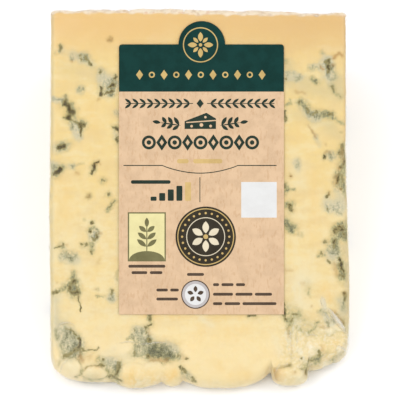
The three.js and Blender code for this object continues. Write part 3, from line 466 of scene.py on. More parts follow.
def to_segments(u, v, line):
    """Distance of places (u, v) from a line of points."""
    pts = np.array(line, float).reshape(-1, 2)
    if len(pts) == 1:
        return np.hypot(u - pts[0, 0], v - pts[0, 1])
    best = np.full(u.shape, 1e9)
    for (ax, ay), (bx, by) in zip(pts[:-1], pts[1:]):
        dx, dy = bx - ax, by - ay
        t = np.clip(((u - ax) * dx + (v - ay) * dy) / (dx * dx + dy * dy), 0, 1)
        best = np.minimum(best, np.hypot(u - ax - t * dx, v - ay - t * dy))
    return best


def shown_marks(x, r):
    """Strength of each kind of mark on the upper face."""
    u = x / UNIT + 198.25
    v = 390.0 - (r - CORE_RADIUS) / UNIT
    flat = np.stack([u, v, 0 * u], -1)
    wu = u + 1.0 * layered(flat, 6, 3, 3) + 0.85 * layered(flat, 2.4, 3, 5)
    wv = v + 1.0 * layered(flat, 6, 3, 9) + 0.85 * layered(flat, 2.4, 3, 13)
    open_to = {k: np.ones(u.shape) for k in KINDS}
    for kind, width, strength, *line in VEINS:
        reach = width * 4 + 6
        pts = np.array(line, float).reshape(-1, 2)
        near = (
            (u > pts[:, 0].min() - reach) & (u < pts[:, 0].max() + reach)
            & (v > pts[:, 1].min() - reach) & (v < pts[:, 1].max() + reach)
        )
        if not near.any():
            continue
        d = to_segments(wu[near], wv[near], line)
        for mark, share, factor, more, steep in PROFILES[kind]:
            value = strength * share * np.exp(-((d / (width * factor + more)) ** steep))
            open_to[mark][near] *= 1 - np.minimum(value, 0.97)
    marks = {k: 1 - open_to[k] for k in KINDS}
    marks["heart"] *= np.clip(0.95 + 0.26 * layered(flat, 4, 2, 21) + 0.3 * layered(flat, 1.9, 2, 23), 0.3, 1.12)
    return marks


def paste_marks(p):
    """The marks of the upper face at points of the surface, and how little they hold where the surface turns away."""
    x, r, h = face_place(p)
    shown = step(-3.6, -1.2, h) * step(-1, 2, r)
    nose = 1 - step(4, 11, r - CORE_RADIUS - np.maximum(tip_start(x) - 1.5, 0))
    shown = np.maximum(shown, nose * step(-7, -3.5, h))
    out = {k: np.zeros(x.shape) for k in KINDS}
    some = shown > 0
    if some.any():
        marks = shown_marks(x[some], r[some])
        for k in KINDS:
            out[k][some] = marks[k] * shown[some]
    out["hidden"] = 1 - shown
    return out


def crumble(x, r):
    """Where the paste is broken into small crumbs, from 0 to 1."""
    v = r - CORE_RADIUS
    right = step(18.5, 24, x)
    reach = 24 + 1.8 * np.sin(0.6 * x)
    loose = 1 - 0.45 * np.exp(-(((x - unit_x(291)) / 4.9) ** 4) - ((v - 3.1) / 2.7) ** 4)
    left = np.exp(-(((x - unit_x(152)) / 9.0) ** 4))
    foot = (0.4 + 0.08 * left) * (1 - step(0, 1, (v - 1.0 - 1.4 * left) / (3.0 + 1.6 * left)))
    return loose * np.maximum(right * (1 - step(reach * 0.55, reach, v)), foot)


def detail(p, marks, rind):
    """How far the paste's surface stands out from the plain form, how deep it lies in a crack, each crumb's tone, and pits."""
    x, r, h = face_place(p)
    v = r - CORE_RADIUS
    free = clear_of_label(x, r) * 0.85 + 0.15
    free = np.where(h > -1.5, free, 1.0)
    broken = crumble(x, r)
    gap, slant, tone = cells(p + 1.7 * np.stack([layered(p, 4, 3, s) for s in (81, 82, 83)], -1), 3.6, 5)
    gap2, slant2, tone2 = cells(p + 0.8 * np.stack([layered(p, 2, 2, s) for s in (84, 85, 86)], -1), 1.5, 9)
    lumps = 0.5 * step(0.0, 0.3, gap) + 0.9 * (tone - 0.5) + 1.6 * slant - 0.4
    small = 0.5 * step(0.0, 0.35, gap2) + 0.8 * (tone2 - 0.5) + 1.2 * slant2 - 0.4
    crack_stain_and_shade = broken * np.clip(0.75 * (1 - step(0.02, 0.22, gap)) + 0.35 * (1 - step(0.03, 0.26, gap2)), 0, 1) * step(-0.35, 0.45, layered(p, 5, 2, 89))
    top = step(-3.0, -1.0, h)
    d = broken * (0.28 * lumps + 0.13 * small)
    u, w = x / UNIT + 198.25, 390 - v / UNIT
    domes, grooves, inner = np.zeros(x.shape), np.zeros(x.shape), np.zeros(x.shape)
    wu = u + 1.6 * layered(p, 5, 2, 91)
    ww = w + 1.6 * layered(p, 5, 2, 92)
    for cx, cy, hx, hy, amp, turn, stain in CRUMBS:
        c, s = math.cos(math.radians(turn)), math.sin(math.radians(turn))
        du, dw = wu - cx, ww - cy
        q = np.sqrt(((du * c + dw * s) / hx) ** 2 + ((-du * s + dw * c) / hy) ** 2)
        domes = np.maximum(domes, amp * np.sqrt(np.clip(1 - q**2, 0, 1)))
        inner = np.maximum(inner, 1 - step(0.8, 0.98, q))
        grooves = np.maximum(grooves, stain * np.exp(-(((q - 1.02) * hy / 2.0) ** 2)))
    lumpy = (1 - step(12.0, 17.0, v)) * top
    grooves = grooves * (1 - inner) * lumpy * step(-0.5, 0.5, layered(p, 5, 2, 93))
    d = d + (0.85 * domes - 0.3) * lumpy - 0.2 * grooves
    d = d + 0.12 * layered(p, 8, 2, 95) + (0.07 + 0.06 * lumpy) * layered(p, 2.6, 2, 96) + (0.035 + 0.03 * lumpy) * layered(p, 0.9, 2, 97)
    mould, heart = marks["mould"], marks["heart"]
    d = d - 0.12 * step(0.1, 0.5, mould) - 0.26 * step(0.3, 0.9, heart) * (0.8 + 0.4 * layered(p, 1.0, 1, 98))
    d = d + 0.13 * step(0.12, 0.5, mould) * layered(p, 1.3, 2, 99)
    d = d - 0.3 * marks["hidden"] * step(0.55, 0.9, layered(p, 3.4, 3, 94))
    # the rind: a dry, wrinkled, pitted and finely cracked crust
    gap3, _, _ = cells(p + 1.5 * np.stack([layered(p, 6, 3, s) for s in (101, 102, 103)], -1), 6.4, 15)
    split = (1 - step(0.0, 0.07, gap3)) * step(0.15, 0.7, layered(p, 9, 3, 107))
    wrinkle = 1 - np.abs(layered(p * np.array([0.4, 1.0, 1.0]), 6.5, 3, 104)) * 2
    crust = 0.3 * layered(p, 9, 4, 105) + 0.24 * layered(p, 1.8, 3, 106) + 0.42 * wrinkle - 0.3 * split + 0.05
    pits = step(0.6, 0.84, layered(p, 1.9, 2, 108)) * step(-0.5, 0.3, layered(p, 14, 2, 109))
    d = d * (1 - rind) + rind * (crust - 0.55 * pits)
    d = d * free * step(0.5, 2.2, p[..., 2])  # the underside is pressed flat
    # how dark the cracks and grooves are painted: partly mould stain, partly painted shade
    crack_stain_and_shade = np.clip(crack_stain_and_shade + 0.9 * grooves, 0, 1)
    tone = (0.6 * tone + 0.4 * tone2 - 0.5) * broken + 0.1 * inner * lumpy
    return d, crack_stain_and_shade * (1 - rind), tone * (1 - rind), rind * np.clip(pits + 0.5 * split, 0, 1)


def rind_strength(p):
    radius = np.hypot(p[..., 1], p[..., 2])
    x = p[..., 0]
    edge = TRUCKLE_RADIUS - RIND_LEAN * step(-16, 34, x) - 1.0 + 0.22 * layered(p, 7, 2, 112) + 0.34 * layered(p, 1.9, 3, 111)
    return step(-0.25, 0.25, radius - edge)


# ---- meshes -----------------------------------------------------------------------------------------------------
def surface_normals(grid):
    ahead = np.roll(grid, -1, axis=1) - np.roll(grid, 1, axis=1)
    across = np.empty_like(grid)
    across[1:-1] = grid[2:] - grid[:-2]
    across[0], across[-1] = grid[1] - grid[0], grid[-1] - grid[-2]
    n = np.cross(across, ahead)
    return n / np.maximum(np.linalg.norm(n, axis=-1, keepdims=True), 1e-9)


def inside(poly, pts):
    """Which points lie inside a polygon."""
    result = np.zeros(len(pts), bool)
    x, y = pts[:, 0], pts[:, 1]
    for (ax, ay), (bx, by) in zip(poly, np.roll(poly, -1, axis=0)):
        crosses = (ay > y) != (by > y)
        if crosses.any():
            at = ax + (y - ay) / (by - ay if by != ay else 1e-12) * (bx - ax)
            result ^= crosses & (x < at)
    return result


def lattice_points(low, high, spacing):
    """Points of a triangular lattice over a box."""
    gy = np.arange(low[0], high[0], spacing)
    gz = np.arange(low[1], high[1], spacing * 0.87)
    yy, zz = np.meshgrid(gy, gz)
    yy = yy + (np.arange(len(gz)) % 2)[:, None] * spacing / 2
    return np.stack([yy.ravel(), zz.ravel()], -1)


def filled(loop, pts):
    """Triangles over a loop and the points inside it. Points are numbered along the loop first."""
    every = [Vector(p) for p in np.concatenate([loop, pts])]
    n = len(loop)
    verts, _, faces, origin, _, _ = delaunay_2d_cdt(every, [(i, (i + 1) % n) for i in range(n)], [], 1, 1e-6)
    source = [o[0] if o else -1 for o in origin]
    triangles = [[source[i] for i in f] for f in faces]
    return [t for t in triangles if min(t) >= 0 and len(set(t)) == 3]


def cap(loop, spacing):
    """Triangles that fill a loop in the plane across the wedge, with points inside it."""
    pts = lattice_points(loop.min(0), loop.max(0), spacing)
    pts = pts[inside(loop, pts)]
    gap = np.full(len(pts), 1e9)
    for a in loop:
        gap = np.minimum(gap, np.hypot(pts[:, 0] - a[0], pts[:, 1] - a[1]))
    pts = pts[gap > spacing * 0.55]
    return pts, filled(loop, pts)


def make_mesh(name, points, faces, smooth=True):
    mesh = bpy.data.meshes.new(name)
    mesh.from_pydata((np.asarray(points) / 1000.0).tolist(), [], faces)
    mesh.update()
    mesh.validate()
    if smooth:
        mesh.shade_smooth()
    obj = bpy.data.objects.new(name, mesh)
    bpy.context.scene.collection.objects.link(obj)
    return obj


def closed_form(name, grid, caps_at, spacing, place, open_rows=(0, 0), open_columns=(0, 0)):
    """A closed mesh from a grid of loops and two filled ends. place(p, side) moves the ends' inner points. The grid's
    faces between the open rows and columns are left out, for a finer mesh to fill."""
    n, m, _ = grid.shape
    points = [grid.reshape(-1, 3)]
    a = (np.arange(n - 1)[:, None] * m + np.arange(m)[None, :])
    b = (np.arange(n - 1)[:, None] * m + (np.arange(m)[None, :] + 1) % m)
    kept = np.ones(a.shape, bool)
    kept[open_rows[0] : open_rows[1], open_columns[0] : open_columns[1]] = False
    faces = np.stack([a, a + m, b + m, b], -1)[kept].tolist()
    total = n * m
    for row, side in ((0, -1), (n - 1, 1)):
        loop = grid[row][:, 1:]
        inner, triangles = cap(loop, spacing)
        xyz = np.concatenate([np.full((len(inner), 1), caps_at * side), inner], axis=1)
        xyz[:, 0] += side * end_bulge(np.full(len(inner), side), np.hypot(inner[:, 0], inner[:, 1]))
        points.append(place(xyz, side))
        for t in triangles:
            ids = [row * m + i if i < m else total + i - m for i in t]
            (ay, az), (by, bz), (cy, cz) = [(loop[i] if i < m else inner[i - m]) for i in t]
            area = (by - ay) * (cz - az) - (bz - az) * (cy - ay)
            faces.append(ids if area * side > 0 else ids[::-1])
        total += len(inner)
    return np.concatenate(points), faces


def spread(field, times):
    """A field blurred over its grid, which closes on itself along its second axis."""
    for _ in range(times):
        field = (np.roll(field, 1, 1) + 2 * field + np.roll(field, -1, 1)) / 4
        padded = np.concatenate([field[:1], field, field[-1:]])
        field = (padded[:-2] + 2 * padded[1:-1] + padded[2:]) / 4
    return field


def widened(field, times):
    """Each place takes the highest value near it."""
    for _ in range(times):
        field = np.maximum.reduce([field, np.roll(field, 1, 1), np.roll(field, -1, 1)])
        padded = np.concatenate([field[:1], field, field[-1:]])
        field = np.maximum.reduce([padded[:-2], padded[1:-1], padded[2:]])
    return field


def surface_facts(p):
    """How far each point stands out, and all that its colour depends on."""
    marks, rind = paste_marks(p), rind_strength(p)
    d, crack_stain_and_shade, tone, pit = detail(p, marks, rind)
    return d, {**marks, "rind": rind, "crack_stain_and_shade": crack_stain_and_shade, "tone": tone, "pit": pit, "crumb": crumble(*face_place(p)[:2])}


# the paste and rind: loops across the wedge, and a finer mesh over the shown part of the upper face
TURN = 9
x_at, inset_at = stations(CHEESE_SKIN, 0.33, 0.43, TURN)
COUNTS = (26, (62, 202), 9, 64, 24)
plain = loops(x_at, inset_at, COUNTS)
normals = surface_normals(plain)
detail_grid, facts_grid = surface_facts(plain)
cheese_grid = plain + normals * detail_grid[..., None]
cheese_grid[..., 2] = np.maximum(cheese_grid[..., 2], 0.12)
ROWS = (TURN, len(x_at) - 1 - TURN)
COLUMNS = (COUNTS[0] - 1, COUNTS[0] - 2 + sum(COUNTS[1]))


def cheese_end(xyz, side):
    moved = xyz.copy()
    moved[:, 0] += side * surface_facts(xyz)[0]
    return moved


def face_loop():
    """The edge of the finer mesh as (x, r), and the grid's points along it."""
    radii = upper_radii(x_at[:, None], inset_at[:, None], COUNTS[1])
    rows, columns = np.arange(ROWS[0], ROWS[1] + 1), np.arange(radii.shape[1])
    row = np.concatenate([rows, np.full(len(columns) - 1, rows[-1]), rows[-2::-1], np.full(len(columns) - 2, rows[0])])
    column = np.concatenate([0 * rows, columns[1:], np.full(len(rows) - 1, columns[-1]), columns[-2:0:-1]])
    return np.stack([x_at[row], radii[row, column]], -1), row * plain.shape[1] + COLUMNS[0] + column


def face_points(loop):
    """Points over the upper face, closest together at the mould and the crumbs, and far apart under the label."""
    low, high = loop.min(0), loop.max(0)
    chosen = []
    for zone, spacing in (("veins", 0.205), ("crumbs", 0.276), ("plain", 0.52), ("covered", 2.0)):
        pts = lattice_points(low, high, spacing)
        x, r = pts[:, 0], pts[:, 1]
        ends = upper_radii(pts[:, :1], CHEESE_SKIN, (1, 2))
        keep = (r > ends[:, 0] + spacing / 2) & (r < ends[:, 2] - spacing / 2) & (np.abs(x) < high[0] - spacing / 2)
        under = (x > LABEL_LEFT + 1) & (x < LABEL_RIGHT - 1) & (r > LABEL_BOTTOM + 1) & (r < LABEL_TOP - 1)
        pts = pts[keep & (under == (zone == "covered"))]
        if zone != "covered":
            marks = shown_marks(pts[:, 0], pts[:, 1])
            busy = np.maximum.reduce([marks["mould"], marks["heart"], marks["brown"]]) > 0.07
            broken = pts[:, 1] < CORE_RADIUS + 17
            pts = pts[{"veins": busy, "crumbs": ~busy & broken, "plain": ~busy & ~broken}[zone]]
        chosen.append(pts)
    return np.concatenate(chosen)


cheese_points, cheese_faces = closed_form("cheese", cheese_grid, HALF_WIDTH - CHEESE_SKIN, 0.66, cheese_end, ROWS, COLUMNS)
ends = cheese_points[plain.shape[0] * plain.shape[1]:]
loop, loop_ids = face_loop()
xr = face_points(loop)
triangles = np.array(filled(loop, xr))
every = np.concatenate([loop, xr])
corners = every[triangles]
area = np.cross(corners[:, 1] - corners[:, 0], corners[:, 2] - corners[:, 0])
triangles = np.where(area[:, None] > 0, triangles, triangles[:, ::-1])
ids = np.concatenate([loop_ids, len(cheese_points) + np.arange(len(xr))])
cheese_faces += ids[triangles].tolist()
x, r = xr[:, 0], xr[:, 1]
face_plain = upper_point(x, r, CHEESE_SKIN)
slopes = [upper_point(x + a, r + b, CHEESE_SKIN) - upper_point(x - a, r - b, CHEESE_SKIN) for a, b in ((0.05, 0), (0, 0.05))]
face_normals = np.cross(*slopes)
face_normals /= np.linalg.norm(face_normals, axis=1, keepdims=True)
face_detail, facts_face = surface_facts(face_plain)
cheese_points = np.concatenate([cheese_points, face_plain + face_normals * face_detail[:, None]])
_, facts_ends = surface_facts(ends)
used = np.unique(np.concatenate([np.array(f) for f in cheese_faces]))
renumber = np.full(len(cheese_points), -1)
renumber[used] = np.arange(len(used))
cheese = make_mesh("cheese", cheese_points[used] + SHIFT, [renumber[f].tolist() for f in cheese_faces])
for name in facts_grid:
    values = np.concatenate([facts_grid[name].ravel(), facts_ends[name], facts_face[name]])[used]
    layer = cheese.data.attributes.new(name, "FLOAT", "POINT")
    layer.data.foreach_set("value", values.astype(np.float32))

# the film, drawn tight over the paste: it bridges the hollows and is faintly creased
def creases(p):
    """How far the film's fine creases stand out."""
    x, r, h = face_place(p)
    fine = 1 - np.abs(layered(p * np.array([1.0, 1.0, 0.55]), 7, 2, 137))
    under = step(-1.0, -6.0, h)
    free = np.where(h > -1.5, clear_of_label(x, r), 1)
    return 0.16 * step(0.8, 1.0, fine) * (0.15 + 0.85 * under) * free


tight = spread(widened(detail_grid, 2), 5)
tight = np.maximum(tight, spread(detail_grid, 1))
film_grid = plain + normals * (tight + 0.13 + creases(plain))[..., None]
film_grid[..., 2] = np.maximum(film_grid[..., 2], 0.02)
keep_rows = np.unique(np.concatenate([np.arange(0, film_grid.shape[0], 2), [film_grid.shape[0] - 1]]))
film_grid = film_grid[keep_rows][:, ::2]


def film_end(xyz, side):
    moved = xyz.copy()
    moved[:, 0] += side * (0.12 * layered(xyz, 8, 2, 95) + 0.24 + creases(xyz))
    return moved


film_points, film_faces = closed_form("film", film_grid, HALF_WIDTH - CHEESE_SKIN, 1.0, film_end)

# folds, where the film is doubled and pressed flat. On the upper face: points in face units, half width and height in
# millimetres, and how milky the fold looks, a white that is partly the fold's painted highlight
FACE_FOLDS = [
    ((327.4, 307.4, 330.6, 311.4, 334.0, 316.2, 337.4, 321.0, 340.6, 325.2, 343.6, 329.4, 346.2, 334.6), 0.8, 0.3, 0.68),
    ((322.0, 296.6, 322.9, 300.6, 324.2, 304.8, 325.6, 310.6), 0.7, 0.16, 0.2),
    ((118.0, 343.6, 128.0, 341.8, 138.0, 342.8), 0.28, 0.08, 0.26), ((138.0, 344.4, 148.0, 343.8, 158.0, 342.6, 167.0, 343.6), 0.3, 0.09, 0.34),
    ((56.0, 327.6, 61.5, 323.6, 69.0, 322.8, 75.0, 325.6), 0.34, 0.09, 0.28), ((60.0, 372.5, 63.0, 364.0, 68.5, 358.8), 0.3, 0.08, 0.18),
    ((183.0, 384.0, 181.6, 375.0, 182.4, 366.0), 0.32, 0.1, 0.2), ((271.4, 378.0, 269.6, 370.0, 271.0, 361.0), 0.32, 0.12, 0.22),
    ((273.0, 377.0, 277.4, 368.0, 281.4, 361.0), 0.3, 0.1, 0.18), ((311.6, 372.0, 309.4, 364.0, 309.6, 356.0), 0.34, 0.1, 0.26),
    ((344.0, 361.0, 339.0, 354.4, 333.6, 351.0), 0.32, 0.1, 0.24), ((346.6, 352.0, 341.0, 347.0, 335.0, 345.4), 0.3, 0.08, 0.2),
    ((323.0, 311.6, 326.6, 315.4, 329.4, 320.4), 0.28, 0.07, 0.26), ((289.0, 328.0, 290.4, 336.0, 290.0, 345.0), 0.26, 0.07, 0.24),
    ((296.0, 332.0, 297.0, 339.0, 296.4, 346.6), 0.24, 0.07, 0.22), ((305.0, 337.0, 311.0, 334.6, 318.0, 335.2), 0.26, 0.07, 0.22),
]
# on the two ends: side, then points as radius and degrees above the lower face
END_FOLDS = [
    (1, (103.0, 25.2, 95.0, 22.0, 86.0, 20.6)), (1, (101.0, 3.0, 92.0, 5.4, 80.0, 6.4)), (1, (62.0, 26.0, 59.0, 21.5, 58.5, 16.0)),
    (1, (17.0, 14.0, 27.0, 13.2, 40.0, 14.6)), (1, (75.0, 1.6, 72.0, 5.5, 70.5, 10.0)), (1, (104.0, 14.0, 95.0, 13.2, 88.0, 13.8)),
    (-1, (103.0, 24.6, 92.0, 23.0, 80.0, 17.6)), (-1, (102.0, 4.4, 94.0, 6.4, 87.0, 10.0)), (-1, (44.0, 25.4, 46.0, 20.0, 50.5, 15.0)),
    (-1, (18.0, 12.0, 30.0, 11.0, 43.0, 9.4)), (-1, (82.0, 1.4, 79.0, 5.0, 73.0, 8.4)), (-1, (72.0, 26.2, 69.5, 22.5, 64.0, 19.6)),
]
# over the rind: points across the wedge and degrees above the lower face
RIND_FOLDS = [
    (-37.0, 22.5, -29.0, 20.6, -18.0, 20.9), (37.0, 5.0, 28.0, 6.8, 20.0, 6.2), (-36.5, 4.2, -27.0, 6.6, -21.0, 9.4),
    (37.0, 23.4, 30.0, 20.0, 25.5, 15.8), (4.0, 26.4, 5.6, 22.4, 9.4, 18.6), (-9.0, 1.4, -7.4, 4.6, -8.6, 8.2), (-37.0, 13.6, -30.0, 13.2, -25.0, 14.6),
]


def smooth_line(points, pieces=9):
    """A line through points, rounded at each of them."""
    pts = np.vstack([2 * points[0] - points[1], points, 2 * points[-1] - points[-2]])
    out = []
    for k in range(1, len(pts) - 2):
        a, b, c, d = pts[k - 1 : k + 3]
        for t in np.arange(pieces) / pieces:
            out.append(0.5 * (2 * b + (c - a) * t + (2 * a - 5 * b + 4 * c - d) * t**2 + (3 * b - a - 3 * c + d) * t**3))
    out.append(pts[-2])
    return np.array(out)


# a fold's cross-section: across, up, and how milky it is there, a white that partly paints the fold's highlight. It
# fades into the flat film on its gentler side
FOLD_SECTION = [
    (-1.0, -0.3, 0.0), (-0.55, 0.16, 0.22), (-0.1, 0.5, 0.62), (0.3, 0.9, 1.0), (0.6, 1.0, 0.8), (0.85, 0.5, 0.3), (1.0, -0.3, 0.0), (0.0, -0.6, 0.0),
]


def fold_mesh(tree, line, toward, half, height, milk_and_glint_level, start):
    """A closed sliver along a line, pressed onto the film, or nothing where the line misses it."""
    base = []
    for p, out in zip(line, toward):
        hit = tree.ray_cast(Vector(p + out * 12), Vector(-out))[0]
        if hit is None:
            return [], [], []
        base.append(np.array(hit))
    base = np.array(base)
    along = np.gradient(base, axis=0)
    across = np.cross(toward, along)
    across /= np.maximum(np.linalg.norm(across, axis=1, keepdims=True), 1e-9)
    count = len(base)
    points, faces, milk_and_glint = [], [], []
    for k in range(count):
        taper = math.sin(math.pi * (0.05 + 0.9 * k / (count - 1))) ** 0.8
        for a, b, m in FOLD_SECTION:
            rise = b * height * taper if b > 0 else b * 0.12
            points.append(base[k] + across[k] * a * half * taper + toward[k] * rise)
            milk_and_glint.append(m * milk_and_glint_level * min(1.0, taper * 1.3 - 0.2))
    n = len(FOLD_SECTION)
    for k in range(count - 1):
        for i in range(n):
            j = (i + 1) % n
            faces.append([start + k * n + i, start + k * n + j, start + (k + 1) * n + j, start + (k + 1) * n + i])
    faces.append([start + i for i in range(n)][::-1])
    faces.append([start + (count - 1) * n + i for i in range(n)])
    middle = np.array(points).reshape(count, n, 3).mean(1)
    a, b, c = (np.array(points[i]) for i in (0, 1, n + 1))
    if np.dot(np.cross(b - a, c - a), (a + b) / 2 - middle[0]) < 0:
        faces = [f[::-1] for f in faces]
    return points, faces, milk_and_glint


tree = BVHTree.FromPolygons(film_points.tolist(), film_faces)
lines = []
for line, half, height, milk_and_glint_level in FACE_FOLDS:
    uv = smooth_line(np.array(line).reshape(-1, 2))
    x, r = unit_x(uv[:, 0]), unit_r(uv[:, 1])
    lines.append((np.stack([x, ALONG[1] * r, ALONG[2] * r], -1), np.tile(OUT, (len(x), 1)), half, height, milk_and_glint_level))
for side, line in END_FOLDS:
    ra = smooth_line(np.array(line).reshape(-1, 2))
    a = np.radians(ra[:, 1])
    p = np.stack([np.full(len(a), side * HALF_WIDTH), ra[:, 0] * np.cos(a), ra[:, 0] * np.sin(a)], -1)
    lines.append((p, np.tile(np.array([float(side), 0, 0]), (len(a), 1)), 0.42, 0.17, 0.36))
for line in RIND_FOLDS:
    xa = smooth_line(np.array(line).reshape(-1, 2))
    a = np.radians(xa[:, 1])
    radial = np.stack([0 * a, np.cos(a), np.sin(a)], -1)
    lines.append((radial * TRUCKLE_RADIUS + np.stack([xa[:, 0], 0 * a, 0 * a], -1), radial, 0.46, 0.18, 0.34))
pleat_values = [np.zeros(len(film_points))]
for p, out, half, height, milk_and_glint_level in lines:
    more, faces, milk_and_glint = fold_mesh(tree, p, out, half, height, milk_and_glint_level, len(film_points))
    if more:
        film_points = np.concatenate([film_points, np.array(more)])
        film_faces += faces
        pleat_values.append(np.array(milk_and_glint))
film = make_mesh("film", film_points + SHIFT, film_faces)
film.data.attributes.new("pleat", "FLOAT", "POINT").data.foreach_set("value", np.concatenate(pleat_values).astype(np.float32))


# ---- the label --------------------------------------------------------------------------------------------------
def disc(cx, cy, radius, n=48, start=0.0):
    a = start + np.arange(n) / n * 2 * math.pi
    return np.stack([cx + radius * np.cos(a), cy + radius * np.sin(a)], -1)


def bar(x0, y0, x1, y1, rounding=0.0, n=4):
    rounding = min(rounding, abs(x1 - x0) / 2 - 1e-3, abs(y1 - y0) / 2 - 1e-3)
    if rounding <= 0:
        return np.array([(x0, y0), (x1, y0), (x1, y1), (x0, y1)], float)
    pts = []
    for cx, cy, a0 in ((x1 - rounding, y1 - rounding, 0), (x0 + rounding, y1 - rounding, 90), (x0 + rounding, y0 + rounding, 180), (x1 - rounding, y0 + rounding, 270)):
        for k in range(n + 1):
            a = math.radians(a0 + 90 * k / n)
            pts.append((cx + rounding * math.cos(a), cy + rounding * math.sin(a)))
    return np.array(pts)


def lozenge(cx, cy, half_w, half_h):
    return np.array([(cx + half_w, cy), (cx, cy + half_h), (cx - half_w, cy), (cx, cy - half_h)])


def petal(cx, cy, inner, outer, half, angle, n=7):
    c, s = math.cos(angle), math.sin(angle)
    pts = []
    for k in range(n + 1):
        t = k / n
        pts.append((inner + (outer - inner) * t, half * math.sin(math.pi * t) ** 0.8))
    for k in range(1, n):
        t = 1 - k / n
        pts.append((inner + (outer - inner) * t, -half * math.sin(math.pi * t) ** 0.8))
    return np.array([(cx + a * c - b * s, cy + a * s + b * c) for a, b in pts])


def bars(x0, x1, y, height, lengths, gap):
    """A row of plain rounded bars that share out the width."""
    scale = (x1 - x0 - gap * (len(lengths) - 1)) / sum(lengths)
    shapes, x = [], x0
    for n in lengths:
        shapes.append(bar(x, y - height / 2, x + n * scale, y + height / 2, height / 2.2, 3))
        x += n * scale + gap
    return shapes


def label_outline():
    left, right, top, bottom, corner = 119.0, 283.9, 44.4, 314.4, 3.1
    pts = [(left, bottom), (right, bottom)]
    for k in range(6):
        a = math.radians(90 * k / 5)
        pts.append((right - corner + corner * math.cos(a), top + corner - corner * math.sin(a)))
    for k in range(29):
        a = math.pi * k / 28
        pts.append((201.8 + 23.3 * math.cos(a), top - 23.3 * math.sin(a)))
    for k in range(6):
        a = math.radians(90 + 90 * k / 5)
        pts.append((left + corner + corner * math.cos(a), top + corner - corner * math.sin(a)))
    return np.array(pts)


LABEL_OUTLINE = label_outline()
PRINT = []  # (ink, polygon) from the bottom layer to the top one
PRINT.append(("green", np.array([(118.0, 91.7), (285.0, 91.7), (285.0, 10.0), (118.0, 10.0)])))
ring_x, ring_y = 200.5, 44.9
PRINT += [("gold", disc(ring_x, ring_y, 17.6, 64)), ("green", disc(ring_x, ring_y, 16.5, 64))]
for k in range(8):
    PRINT.append(("gold", petal(ring_x, ring_y, 3.2, 12.8 if k % 2 == 0 else 10.2, 2.5 if k % 2 == 0 else 1.7, math.pi / 4 * k + math.pi / 2)))
PRINT.append(("gold", disc(ring_x, ring_y, 1.7, 16)))
for k in range(11):
    cx = 139.6 + k * 12.24
    if k % 2 == 0:
        PRINT.append(("gold", lozenge(cx, 74.8, 3.5, 5.0)))
    else:
        PRINT += [("gold", disc(cx, 74.8, 3.1, 20)), ("green", disc(cx, 74.8, 1.7, 16))]
# a garland of small leaves that parts at a lozenge
PRINT += [("ink", bar(126.0, 103.1, 193.0, 103.9)), ("ink", bar(207.0, 103.1, 274.4, 103.9)), ("ink", lozenge(200.1, 103.5, 3.6, 4.6))]
for side in (-1, 1):
    for k in range(9):
        cx = 200.1 + side * (10.2 + 7.3 * k)
        for tilt in (-1, 1):
            PRINT.append(("ink", petal(cx, 103.5, 0.2, 8.2, 1.35, tilt * math.radians(36) + (math.pi if side < 0 else 0))))
# a wedge with round holes between leafy sprigs
PRINT.append(("ink", np.array([(184.6, 129.0), (184.6, 121.2), (206.4, 112.8), (216.0, 118.6), (216.0, 129.0)])))
PRINT.append(("paper", np.array([(186.2, 122.0), (216.0, 119.9), (216.0, 121.0), (186.2, 123.1)])))
PRINT += [("paper", disc(191.6, 126.2, 1.3, 14)), ("paper", disc(201.4, 125.0, 1.8, 16)), ("paper", disc(210.6, 126.1, 1.4, 14)), ("paper", disc(205.4, 117.2, 1.2, 14))]
for side in (-1, 1):
    def sprig(cx, cy, inner, outer, half, turn):
        angle = math.radians(turn) if side > 0 else math.pi - math.radians(turn)
        return petal(200.3 + side * cx, cy, inner, outer, half, angle)

    PRINT.append(("ink", sprig(19.0, 125.6, 0.0, 22.0, 0.7, -8)))
    for k in range(3):
        at, low = 21.0 + 6.4 * k, 125.4 - 0.9 * k
        PRINT += [("ink", sprig(at, low, 0.2, 10.0 - k, 1.9, -58)), ("ink", sprig(at, low, 0.2, 8.4 - k, 1.7, 34))]
    PRINT.append(("ink", sprig(39.4, 122.8, 0.2, 8.6, 1.8, -10)))
# a bold band of lozenges and rings
for k in range(9):
    cx = 148.9 + 12.9 * k
    if k % 2 == 0:
        PRINT += [("ink", disc(cx, 142.5, 7.0, 30)), ("paper", disc(cx, 142.5, 4.3, 24)), ("ink", disc(cx, 142.5, 2.3, 16))]
    else:
        PRINT += [("ink", lozenge(cx, 142.5, 5.6, 8.2)), ("paper", lozenge(cx, 142.5, 2.1, 3.2))]
PRINT += [("straw", b) for b in bars(177.0, 222.4, 161.2, 4.4, (2, 5), 4.5)]
# the thin rule with its dip
a = np.linspace(0, math.pi, 19)
rule = np.concatenate([[(123.5, 165.0)], np.stack([162.4 + 75.4 * a / math.pi, 165.0 + 7.7 * np.clip(np.sin(a), 0, 1) ** 0.85], -1), [(276.5, 165.0)]])
PRINT.append(("ink", np.concatenate([rule, rule[::-1] + np.array([0.0, 0.95])])))
# a gauge of rising bars
PRINT += [("ink", b) for b in bars(130.9, 170.6, 182.0, 3.6, (8,), 0)]
for k in range(5):
    x0 = 150.6 + k * 8.6
    PRINT.append(("ink" if k < 4 else "straw", bar(x0, 196.6 - 3.6 * k, x0 + 6.0, 200.8, 0.8, 2)))
PRINT.append(("ink", bar(199.5, 177.2, 200.3, 202.2)))
PRINT.append(("white", bar(241.2, 182.0, 276.7, 217.6)))
